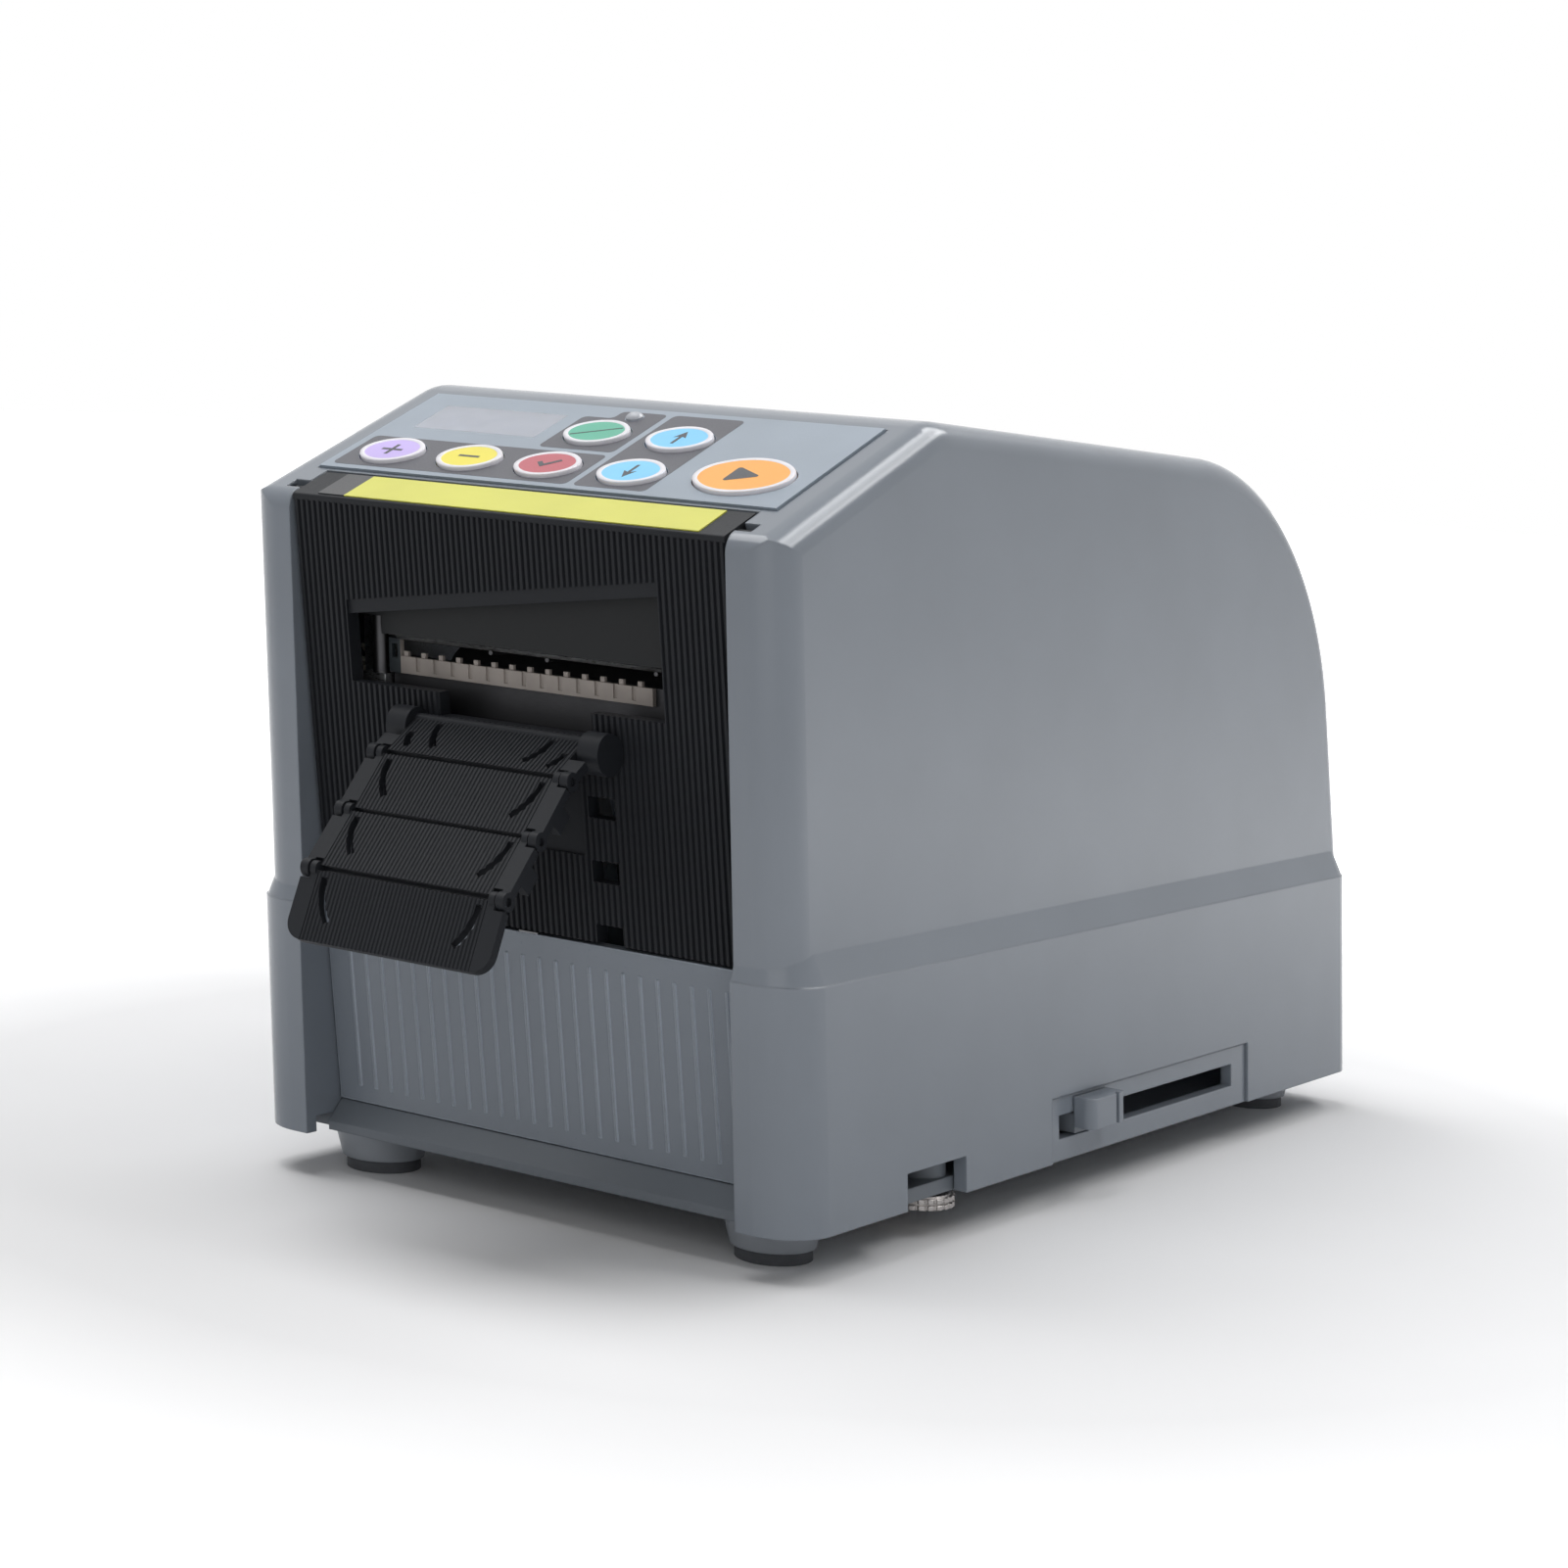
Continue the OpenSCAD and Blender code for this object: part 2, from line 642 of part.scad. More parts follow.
// ribbed plate, ribs along Z, rib tops on y = 0; a margin at the sides stays smooth
rib_part = [0.12, 0.3, 0.7, 0.88];
module ribbed(x, t, pitch, depth, h, margin = 0) {
    n = floor(2*(x - margin)/pitch);
    x0 = -n*pitch/2;
    side = margin > 0 ? [[x, 0], [-x0, 0]] : [[x, depth]];
    linear_extrude(h) polygon(concat([[-x, t]],
        [for (p = side) [-p[0], p[1]]],
        [for (i = [0 : n - 1], k = [0 : 3])
            [x0 + (i + rib_part[k])*pitch, k == 0 || k == 3 ? depth : 0]],
        [for (k = [len(side) - 1 : -1 : 0]) side[k]],
        [[x, t]]));
}
cover_x = bay_x - 0.4;
cover_h = (cover_p[1] - cover_z0)/cos(fascia_a);
window_x0 = window_mid - window_w/2;
window_x1 = window_mid + window_w/2;
hole_x = tray_w/2 - 6.6;
hole_w = 5.2;
hole_drop = 15.8;
hole_pitch = (sill_z - cover_z0 - hole_drop - 1.4)/2;
// cuts a shape drawn in the cover's face, from y0 to y1 behind the rib tops
module face_cut(z, y0, y1) {
    on_fascia(z) rotate([90, 0, 0]) translate([0, 0, -y1]) linear_extrude(y1 - y0) children();
}
// drop-shaped lug that carries the tray's hinge
module boss() {
    rod_x(boss_x, boss_x + boss_w, tray_0[0], tray_0[1] - boss_low, boss_r);
    on_fascia(tray_0[1]) along_x(boss_x, boss_x + boss_w)
        polygon([[0.8, -boss_r], [-tray_out, -boss_low - boss_r*0.75],
            [-tray_out - boss_r*0.85, -boss_low*0.4], [0.8, boss_top]]);
}
module front_cover() {
    // plain height above the ribs, in front and behind, and the edge's radius
    top = 0.9;
    back_top = 2.2;
    edge_r = 0.6;
    head_in = 0.06;
    edge_a = 90 + fascia_a;
    color(black) place() {
        difference() {
            union() {
                on_fascia(cover_p[1]) translate([0, 0, -cover_h])
                    ribbed(cover_x, cover_t, rib_pitch, rib_depth, cover_h - top);
                // smooth head: corner and top strip in one profile
                difference() {
                    along_x(-cover_x + head_in, cover_x - head_in) polygon([cover_p,
                        cover_p - dir(edge_a)*(top + 0.1) - nrm(edge_a)*head_in,
                        cover_p - dir(edge_a)*(back_top + 0.1) - nrm(edge_a)*(cover_t - head_in),
                        cover_p - nrm(slope_a)*cover_t + dir(slope_a)*cover_t*0.9,
                        on_slope_p(strip_u, -cover_t), on_slope_p(strip_u, 0)]);
                    along_x(-cover_x - 1, cover_x + 1)
                        corner_cut(cover_p - dir(edge_a)*20, cover_p, on_slope_p(strip_u, 0), edge_r);
                }
                both() boss();
                // hinge pins
                both() rod_x(cover_x - 2, bay_x + wall - 0.2, hinge_p[0], hinge_p[1], hinge_r);
            }
            // outlet window with its slanted top, lower between the lugs, and its smooth border
            face_cut(sill_z, -1, cover_t + 1) {
                polygon([[window_x0, 0], [window_x1, 0],
                    [window_x1, window_h_right], [window_x0, window_h_left]]);
                translate([-boss_x + 2, -sill_cut]) square([2*boss_x - 4, sill_cut + 1]);
            }
            face_cut(sill_z, -1, rib_depth + 0.1)
                polygon([[window_x0, window_h_left - 1], [window_x1, window_h_right - 1],
                    [window_x1, window_h_right + border_h], [window_x0, window_h_left + border_h]]);
            // bores of the tray's pins
            rod_x(-boss_x - boss_w + boss_end, boss_x + boss_w - boss_end, tray_0[0], tray_0[1],
                tray_pivot_r + run);
            // pairs of square holes under the tray
            both() for (i = [0 : 2]) on_fascia(sill_z - hole_drop - i*hole_pitch)
                box(hole_x, hole_x + hole_w, -1, cover_t + 1, -hole_pitch/6, hole_pitch/6);
            // smooth shallow field behind the tray
            on_fascia(sill_z - 18.3) box(-hole_x + 1.3, hole_x - 1.3, -1, rib_depth + 0.1, -6, 6);
            // place of the band
            on_slope(band_u0, -band_t/2)
                box(-band_w/2 - bond, band_w/2 + bond, -bond, band_u + bond, 0, 2);
            // slot of the catch
            on_fascia(cover_z0)
                box(-catch_w/2 - seat, catch_w/2 + seat, cover_t - 1.2, cover_t + 1, -1, 7);
        }
    }
}
band_u0 = 1.2;
catch_w = 4;
module cover_band() {
    color([0.86, 0.84, 0.18]) place() on_slope(band_u0, -band_t/2)
        box(-band_w/2, band_w/2, 0, band_u, 0, band_t);
}
// spring clip on the lower panel's top edge that holds the cover shut
module cover_catch() {
    color(steel) place() on_fascia(cover_z0) {
        box(-catch_w/2, catch_w/2, panel_t, panel_t + 0.6, -9, 5);
        box(-catch_w/2, catch_w/2, panel_t - 0.15, panel_t + 0.6, 3.4, 5);
        box(-catch_w/2, catch_w/2, -0.2, panel_t + 0.1, -0.42, -0.12);
    }
}

slit_w = 1.3;
slit_a = 42;
slit_in = 5;
slit_low = 1.4;
module slit(s, cx, r) {
    rotate([90, 0, 0]) translate([0, 0, -tray_t]) linear_extrude(2*tray_t) intersection() {
        translate([s*cx, -slit_low]) difference() {
            circle(r + slit_w/2);
            circle(r - slit_w/2);
        }
        translate([s*cx, -slit_low])
            polygon([[0, 0], [s*2*r, 0], [s*2*r*cos(slit_a), -2*r*sin(slit_a)]]);
    }
}
// plate k: local Z runs up the plate from its upper joint, the ribbed face looks to -Y
module tray_plate(k) {
    x = tray_w/2;
    first = k == 0;
    last = k == 3;
    l = first ? tray_l1 : tray_l;
    z0 = last ? -l : -l + joint_gap/2;
    z1 = first ? tray_t/2 : -joint_gap/2;
    arc_r = l*0.9;
    translate([0, tray_j[k][0], tray_j[k][1]]) rotate([-tray_a[k], 0, 0]) difference() {
        union() {
            difference() {
                union() {
                    intersection() {
                        translate([0, -tray_t/2, z0])
                            ribbed(x, tray_t, tray_pitch, tray_groove, z1 - z0, tray_margin);
                        rotate([90, 0, 0]) translate([0, 0, -tray_t]) linear_extrude(2*tray_t)
                            difference() {
                                translate([-x, z0]) square([2*x, z1 - z0]);
                                if (last) for (s = [-1, 1])
                                    corner_cut([0, z0], [s*x, z0], [s*x, 0], tray_corner);
                            }
                    }
                    if (!first && !last) both()
                        box(x - 1.6, x, tray_t/2 - 0.1, tray_t/2 + tray_skirt, z0 + 3.6, -barrel_r - 3);
                }
                // room for the lugs, or for the next joint's barrels
                both() box(first ? boss_x - seat : knuckle_x - seat, x + 1, -5, 5,
                    first ? -boss_reach : -barrel_r - free, 5);
                if (!last) both()
                    box(lug_x - seat, lug_x + lug_w + seat, -5, 5, -l - 1, -l + lug_r + free);
                for (s = [-1, 1]) slit(s, x - (first ? 9.2 : slit_in) - arc_r, arc_r);
                if (first) for (s = [-1, 1])
                    translate([0, 0, -3]) slit(s, x - slit_in - arc_r*0.6, arc_r*0.6);
            }
            if (first) {
                rod_x(-boss_x + seat, boss_x - seat, 0, 0, tray_rod_r);
                both() rod_x(boss_x - seat - 1, boss_x + boss_w - boss_end - 0.4, 0, 0, tray_pivot_r);
            } else both() {
                rod_x(lug_x, lug_x + lug_w, 0, 0, lug_r);
                rod_x(lug_x, x - 0.6, 0, 0, tray_pin_r);
            }
            if (!last) both() rod_x(knuckle_x, x, 0, -l, barrel_r);
        }
        if (!last) rod_x(-x - 1, x + 1, 0, -l, tray_pin_r + run);
    }
}
module tray_plate_1() {
    color(black) place() tray_plate(0);
}
module tray_plate_2() {
    color(black) place() tray_plate(1);
}
module tray_plate_3() {
    color(black) place() tray_plate(2);
}
module tray_plate_4() {
    color(black) place() tray_plate(3);
}

// oval of four arcs
module oval(w, h) {
    r = h*0.4;
    a = w/2 - r;
    k = h/2 - r;
    b = (a*a - k*k)/(2*k);
    big = b + h/2;
    intersection() {
        translate([0, -b]) circle(big, $fn = 128);
        translate([0, b]) circle(big, $fn = 128);
        square([2*big*a/(big - r), 2*h], center = true);
    }
    for (s = [-1, 1]) translate([s*a, 0]) circle(r*oval_k);
}
row_1 = overlay_u0 + 8.2;
row_2 = row_1 + 15.4;
// columns, spread with the overlay's width
spread = overlay_w/96;
col_plus = -overlay_w/2 + 10.5;
col_minus = -20.4*spread;
col_mode = -3.5*spread;
col_arrow = 14*spread;
start_p = [overlay_w/2 - 12.7, row_1 + 2.4];
lcd_p = [-overlay_w/2 + 6.3 + lcd_w/2, row_2 + 1.8];
led_p = [col_mode + 2.4, row_2 + 8.5];
led_r = 1.6;
key_p = [[col_plus, row_1], [col_minus, row_1], [col_mode, row_1], [col_mode, row_2],
    [col_arrow, row_2], [col_arrow, row_1], start_p];
key_gap = 0.3;
module key_at(p) {
    on_slope(p[1], 0) translate([p[0], 0, 0]) children();
}
module key(p, w, h) {
    under = overlay_n - overlay_t;
    key_at(p) {
        translate([0, 0, under - 1.3]) linear_extrude(overlay_t + 1.9) oval(w, h);
        translate([0, 0, under - 1.3]) linear_extrude(1) oval(w + 1.8, h + 1.8);
        translate([0, 0, board_n + key_travel + 0.2])
            cylinder(r = 2, h = under - 1 - board_n - key_travel - 0.2);
    }
}
module keypad_overlay() {
    color([0.56, 0.60, 0.65]) place() difference() {
        on_slope(overlay_u0, overlay_n - overlay_t)
            box(-overlay_w/2, overlay_w/2, 0, overlay_u, 0, overlay_t);
        for (i = [0 : 6]) key_at(key_p[i]) translate([0, 0, -3]) linear_extrude(6)
            oval((i == 6 ? start_w : key_w) + 2*key_gap, (i == 6 ? start_h : key_h) + 2*key_gap);
        key_at(lcd_p) box(-lcd_w/2 - bond, lcd_w/2 + bond, -lcd_h/2 - bond, lcd_h/2 + bond, -3, 3);
        key_at(led_p) translate([0, 0, -3]) cylinder(r = led_r + bond, h = 6);
    }
}
module display_window() {
    color([0.75, 0.79, 0.83]) place() key_at(lcd_p)
        box(-lcd_w/2, lcd_w/2, -lcd_h/2, lcd_h/2, overlay_n - overlay_t, overlay_n);
}
module display_module() {
    color([0.62, 0.67, 0.66]) place() key_at(lcd_p)
        box(-lcd_w/2 - 1, lcd_w/2 + 1, -lcd_h/2 - 0.6, lcd_h/2 + 0.6,
            board_n + bond, overlay_n - overlay_t - 0.1);
}
module indicator_lens() {
    color([0.72, 0.74, 0.78]) place() key_at(led_p) {
        translate([0, 0, board_n]) cylinder(r = led_r, h = overlay_n + 0.3 - board_n);
        intersection() {
            translate([0, 0, overlay_n + 0.3 - led_r*0.8]) sphere(led_r*1.28);
            translate([0, 0, overlay_n + 0.3]) cylinder(r = led_r, h = led_r);
        }
    }
}
module key_plus() {
    color([0.74, 0.66, 0.88]) place() key(key_p[0], key_w, key_h);
}
module key_minus() {
    color([0.93, 0.87, 0.36]) place() key(key_p[1], key_w, key_h);
}
module key_select() {
    color([0.74, 0.36, 0.43]) place() key(key_p[2], key_w, key_h);
}
module key_mode() {
    color([0.27, 0.66, 0.62]) place() key(key_p[3], key_w, key_h);
}
module key_up() {
    color([0.42, 0.74, 0.93]) place() key(key_p[4], key_w, key_h);
}
module key_down() {
    color([0.42, 0.74, 0.93]) place() key(key_p[5], key_w, key_h);
}
module key_start() {
    color([0.95, 0.60, 0.22]) place() key(key_p[6], start_w, start_h);
}
module keypad_board() {
    color(board) place() on_slope(0, board_n)
        box(-post_x - 3, post_x + 3, post_u[0] - 4, post_u[1] + 4, -1.6, 0);
}
module control_board() {
    color(board) place() {
        box(-cb_x, cb_x, cb_y0, cb_y1, cb_z, cb_z + 1.6);
        box(-cb_x + 8, -cb_x + 20, cb_y0 + 6, cb_y0 + 18, cb_z + 1.5, cb_z + 4);
        box(cb_x - 18, cb_x - 8, cb_y0 + 22, cb_y0 + 36, cb_z + 1.5, cb_z + 9);
        for (i = [0 : 2])
            translate([-cb_x + 14 + i*11, cb_y1 - 8, cb_z + 1.5]) cylinder(r = 3.5, h = 9);
    }
}

// side plate of the inner frame; s = -1 left, 1 right
module frame_plate(s) {
    y0 = feed_y - 19;
    y1 = feed_y + 30;
    difference() {
        union() {
            along_x(plate_x, plate_x + plate_t)
                polygon([[y0 + 3, base_top], [y1, base_top], [y1, nip_z + 13],
                    [y1 - 12, nip_z + 18.4], [y0, nip_z + 18.4], [y0, base_top + 30]]);
            box(plate_x - 5, plate_x + plate_t, y0 + 6, y1 - 3, base_top, base_top + 2);
            // ears of the guide rod
            for (z = [nip_z - 6.7, nip_z + 16.8])
                box(rod_x0 - 2.2, plate_x + 1, rod_y - 1.8, y0 + 3, z, z + 1.6);
        }
        translate([rod_x0, rod_y, 0]) cylinder(r = rod_r + bond, h = body_h);
        rod_x(plate_x - 1, plate_x + plate_t + 1, feed_y, feed_z, feed_shaft_r + run);
        rod_x(plate_x - 1, plate_x + plate_t + 1, feed_y, pinch_z, shaft_r + run);
        rod_x(plate_x - 1, plate_x + plate_t + 1, bar_p[0], bar_p[1], bar_r + bond);
        rod_x(plate_x - 1, plate_x + plate_t + 1, strip_p[0], strip_p[1], strip_r + bond);
        if (s > 0) {
            rod_x(plate_x - 1, plate_x + plate_t + 1, crank_p[0], crank_p[1], shaft_r + run);
            rod_x(plate_x - 1, plate_x + plate_t + 1, idler_p[0], idler_p[1], shaft_r + bond);
            rod_x(plate_x - 1, plate_x + plate_t + 1, cutter_motor_p[0], cutter_motor_p[1], 4 + bond);
        } else rod_x(plate_x - 1, plate_x + plate_t + 1, feed_motor_p[0], feed_motor_p[1], 4 + bond);
    }
}
bar_r = 3;
bar_p = [feed_y + 22, nip_z + 4];
strip_r = 1.2;
strip_p = [feed_y - 9.2, nip_z + 0.8];
module frame_plate_left() {
    color(steel) place() mirror([1, 0, 0]) frame_plate(-1);
}
module frame_plate_right() {
    color(steel) place() frame_plate(1);
}

// involute gear on the X axis, phase in degrees
function inv(r, rb) = let(a = acos(min(1, rb/r))) tan(a)*180/PI - a;
module gear(teeth, w, bore, phase) {
    pr = gear_m*teeth/2;
    rb = pr*cos(20);
    root = pr - 1.2*gear_m;
    half = 90/teeth - 0.5*gear_m*0.12/pr*180/PI;
    rs = [root, max(rb, root), pr*0.5 + max(rb, root)*0.5, pr, pr + 0.5*gear_m, pr + 0.9*gear_m];
    difference() {
        rotate([0, 90, 0]) rotate([0, 0, phase]) linear_extrude(w)
            polygon([for (i = [0 : teeth - 1], k = [0 : 11])
                let(r = rs[k < 6 ? k : 11 - k],
                    h = half + inv(pr, rb) - inv(r, rb),
                    a = 360*i/teeth + (k < 6 ? -h : h))
                [r*cos(a), r*sin(a)]]);
        rod_x(-1, w + 1, 0, 0, bore);
    }
}
module feed_shaft() {
    color(steel) place()
        rod_x(-gear_x - gear_w - 0.4, plate_x + plate_t + 0.4, feed_y, feed_z, feed_shaft_r);
}
module roller(x, y, z, r, bore) {
    difference() {
        rod_x(-x, x, y, z, r);
        rod_x(-x - 1, x + 1, y, z, bore);
    }
}
module feed_roller() {
    color(rubber) place() roller(roller_x, feed_y, feed_z, feed_r, feed_shaft_r + bond);
}
module feed_gear() {
    color([0.9, 0.9, 0.86]) place() translate([-gear_x - gear_w, feed_y, feed_z])
        gear(wheel_teeth, gear_w, feed_shaft_r + bond, 0);
}
module pinch_shaft() {
    color(steel) place() rod_x(-plate_x - plate_t - 0.6, plate_x + plate_t + 0.6, feed_y, pinch_z, shaft_r);
}
module pinch_roller() {
    color(rubber) place() roller(roller_x, feed_y, pinch_z, pinch_r, shaft_r + bond);
}
// motor with its face on the plate; s as for the plates
module motor(p) {
    difference() {
        union() {
            rod_x(plate_x - motor_l, plate_x, p[0], p[1], motor_r);
            rod_x(plate_x - 1, plate_x + plate_t, p[0], p[1], 4);
            rod_x(plate_x - motor_l - 3, plate_x - motor_l + 1, p[0], p[1], motor_r*0.45);
        }
        rod_x(plate_x - motor_l*0.6, plate_x + plate_t + 1, p[0], p[1], motor_shaft_r + run);
    }
}
motor_shaft_r = 1.5;
module motor_pinion(p, phase) {
    translate([gear_x, p[0], p[1]]) gear(pinion_teeth, gear_w, motor_shaft_r - 0.2, phase);
    rod_x(plate_x - motor_l*0.5, gear_x + gear_w, p[0], p[1], motor_shaft_r);
}
module feed_motor() {
    color(steel) place() mirror([1, 0, 0]) motor(feed_motor_p);
}
module feed_pinion() {
    color(brass) place() mirror([1, 0, 0]) motor_pinion(feed_motor_p, 180/pinion_teeth);
}
module cutter_motor() {
    color(steel) place() motor(cutter_motor_p);
}
module cutter_pinion() {
    color(brass) place() motor_pinion(cutter_motor_p, 180/pinion_teeth + idler_a);
}
module idler_gear() {
    color([0.9, 0.9, 0.86]) place() translate([gear_x, idler_p[0], idler_p[1]])
        gear(wheel_teeth, gear_w, shaft_r + run, idler_a);
}
module idler_axle() {
    color(steel) place() {
        rod_x(plate_x, gear_x + gear_w + 1.1, idler_p[0], idler_p[1], shaft_r);
        rod_x(gear_x + gear_w + 0.3, gear_x + gear_w + 1.1, idler_p[0], idler_p[1], shaft_r + 1.2);
        rod_x(plate_x + plate_t, gear_x - 0.3, idler_p[0], idler_p[1], shaft_r + 1.2);
    }
}
disc_x = plate_x - 3.1;
module crank() {
    color(steel) place() {
        rod_x(disc_x + 1, gear_x + gear_w + 0.3, crank_p[0], crank_p[1], shaft_r);
        rod_x(disc_x, plate_x - 0.6, crank_p[0], crank_p[1], 5);
        rod_x(arm_x - 0.3, disc_x + 1, crank_p[0], crank_p[1] + crank_throw, crank_pin_r);
    }
}
module crank_gear() {
    color(brass) place() translate([gear_x, crank_p[0], crank_p[1]])
        gear(pinion_teeth, gear_w, shaft_r + bond, 180/pinion_teeth + idler_a);
}
arm_t = 2;
arm_x = disc_x - 0.9 - arm_t;
module blade_carrier() {
    slot_h = crank_pin_r + 0.9;
    slot_y = crank_throw + crank_pin_r + 0.5;
    cx = plate_x - 0.8;
    color(black) place() difference() {
        union() {
            box(-cx, cx, blade_y - carrier_t, blade_y, carrier_z0 + 3, carrier_z1);
            box(-tape_w/2 - 1, tape_w/2 + 1, blade_y - carrier_t, blade_y, carrier_z0, carrier_z0 + 4);
            both() box(rod_x0 - 2.1, rod_x0 + 2.2, blade_y - 0.1, rod_y + 2.1,
                carrier_z0 + 3.4, carrier_z0 + 9);
            box(arm_x, arm_x + arm_t, blade_y - 0.1, crank_p[0] + slot_y + 1.4,
                crank_p[1] + crank_throw - slot_h - 1.8, crank_p[1] + crank_throw + slot_h + 1.3);
        }
        both() translate([rod_x0, rod_y, 0]) cylinder(r = rod_r + run, h = body_h);
        box(arm_x - 1, arm_x + arm_t + 1, crank_p[0] - slot_y, crank_p[0] + slot_y,
            crank_p[1] + crank_throw - slot_h, crank_p[1] + crank_throw + slot_h);
    }
}
module moving_blade() {
    z = carrier_z0 - 1;
    y1 = blade_y + blade_t;
    color(steel) place() along_x(-tape_w/2, tape_w/2)
        polygon([[blade_y, z + 1.3], [y1, z], [y1, z + 6], [blade_y, z + 6]]);
}
comb_z = nip_z - 1.7;
module fixed_blade() {
    y = comb_y + comb_t;
    color(steel) place() {
        box(-rod_x0 + 2.6, rod_x0 - 2.6, y, y + 2, comb_z - 9, comb_z);
        box(-plate_x, plate_x, y, y + 2, comb_z - 14, comb_z - 6.2);
    }
}
module outlet_comb() {
    pitch = comb_w/comb_n;
    color([0.46, 0.44, 0.43]) place() translate([comb_x0, comb_y, comb_z]) {
        difference() {
            box(0, comb_w, 0, comb_t, -comb_h, 0);
            for (i = [1 : comb_n - 1]) box(i*pitch - 0.4, i*pitch + 0.4, -1, 0.4, 0.6 - comb_h, 1);
        }
        for (i = [0 : comb_n - 1]) box(i*pitch + 0.6, i*pitch + 1.5, 0.3, comb_t, -1, 0.9);
        // bracket beside the comb with its square hole
        difference() {
            box(-2.5, 0.1, 0, comb_t, -comb_h, 3);
            box(-1.9, -0.6, -1, comb_t + 1, -0.4, 2);
        }
    }
}
module stripper_wires() {
    color([0.9, 0.9, 0.9]) place() {
        rod_x(-plate_x - plate_t, plate_x + plate_t, strip_p[0], strip_p[1], strip_r);
        for (x = [-10, 2, 24.5]) translate([x, strip_p[0], strip_p[1]]) rotate([90, 0, 0])
            cylinder(r = 0.4, h = strip_p[0] - comb_y - 0.2, $fn = 24);
    }
}
module guide_rods() {
    color(steel) place() both()
        translate([rod_x0, rod_y, nip_z - 6.7]) cylinder(r = rod_r, h = 25.1);
}
module guide_bar() {
    color(steel) place() rod_x(-plate_x - plate_t, plate_x + plate_t, bar_p[0], bar_p[1], bar_r);
}

// sliding carriage of the front support roller
carriage_l = 18;
stem_l = 12;
module roll_carriage() {
    z0 = base_top + 0.8;
    stem_z0 = slot_z0 + free;
    stem_z1 = slot_z1 - free;
    color(dark_grey) place() difference() {
        union() {
            box(-well_x + 1, well_x - 1, carriage_y - carriage_l/2, carriage_y + carriage_l/2, z0, z0 + 3);
            box(well_x - 2, hx - 0.4, carriage_y - stem_l/2, carriage_y + stem_l/2, stem_z0, stem_z1);
            both() box(roller_x + seat, roller_x + 2.4, carriage_y - 5, carriage_y + 5, z0, support_z + 5);
        }
        rod_x(-well_x, well_x, carriage_y, support_z, shaft_r + bond);
    }
}
// grip with a finger groove near its rear edge
module carriage_knob() {
    y0 = carriage_y - knob_l/2;
    y1 = y0 + knob_l;
    out = knob_out + 0.4;
    h0 = base_top + 3;
    h1 = slot_z1 + 2.8;
    color(grey) place() translate([hx - 0.4, 0, h0]) linear_extrude(h1 - h0) difference() {
        translate([0, y0]) square([out, knob_l]);
        corner_cut([0, y0], [out, y0], [out, y1], 2);
        corner_cut([0, y1], [out, y1], [out, y0], 1.2);
        translate([out - 0.8, y1 - 3.6]) square([1, 1.2]);
    }
}
module axle(y) {
    rod_x(-roller_x - 2.3, roller_x + 2.3, y, support_z, shaft_r);
}
module support_roller(y) {
    difference() {
        union() {
            rod_x(-roller_x, roller_x, y, support_z, support_r);
            for (x = [-roller_x + 2, roller_x - 2]) rod_x(x - 1, x + 1, y, support_z, support_r + 0.4);
        }
        rod_x(-well_x, well_x, y, support_z, shaft_r + run);
    }
}
module carriage_axle() {
    color(steel) place() axle(carriage_y);
}
module front_support_roller() {
    color(black) place() support_roller(carriage_y);
}
module rear_axle() {
    color(steel) place() axle(rear_y);
}
module rear_support_roller() {
    color(black) place() support_roller(rear_y);
}

// flat knurled head of two rings on a stem
module thumb_screw() {
    z1 = foot_h - 0.5;
    h = 1.15;
    color(steel) place() translate([thumb_p[0], thumb_p[1], 0]) {
        translate([0, 0, z1 - 2*h + 0.2]) cylinder(r = thumb_r - 0.7, h = 2*h - 0.2);
        for (i = [1, 2]) translate([0, 0, z1 - i*h]) difference() {
            cylinder(r = thumb_r, h = h - 0.35);
            for (k = [0 : 23]) rotate([0, 0, 15*k]) translate([thumb_r, 0, -1])
                cylinder(r = 0.35, h = 4, $fn = 8);
        }
        translate([0, 0, z1 - 1]) cylinder(r = thumb_stem_r, h = 10);
    }
}
module each_foot() {
    for (x = [-foot_x, foot_x], y = [-foot_y, foot_y]) translate([x, y, 0]) children();
}
module foot_bodies() {
    color(dark_grey) place() each_foot() difference() {
        union() {
            translate([0, 0, pad_t]) cylinder(r1 = foot_r - foot_taper, r2 = foot_r, h = foot_h - pad_t);
            translate([0, 0, foot_h - 0.5]) cylinder(r = 2.2 - bond, h = floor_t + 0.5);
        }
        translate([0, 0, pad_t - 1]) cylinder(r = pad_r*0.5 + bond, h = 2.5);
    }
}
module foot_pads() {
    color(rubber) place() each_foot() {
        cylinder(r = pad_r, h = pad_t);
        translate([0, 0, pad_t - 0.1]) cylinder(r = pad_r*0.5, h = 1.5);
    }
}
module housing_screws() {
    color(steel) place() both() for (y = screw_y) translate([screw_x, y, 0]) difference() {
        union() {
            translate([0, 0, foot_h - 0.4]) cylinder(r = 2*screw_r, h = 1.6);
            translate([0, 0, foot_h]) cylinder(r = screw_r, h = 16);
        }
        translate([0, 0, foot_h - 1]) rotate([0, 0, 30]) cylinder(r = screw_r, h = 1.6, $fn = 6);
    }
}
module dc_jack() {
    color(black) place() translate([jack_x, 0, jack_z]) rotate([90, 0, 0]) difference() {
        union() {
            translate([0, 0, -yb + 0.2]) cylinder(r = jack_r, h = 13);
            translate([0, 0, -yb + wall + 2]) cylinder(r = jack_r + 2, h = 3);
        }
        difference() {
            translate([0, 0, -yb - 1]) cylinder(r = 2.8, h = 10);
            translate([0, 0, -yb - 2]) cylinder(r = 1, h = 14);
        }
    }
}
rock_y = yb - 5.6;
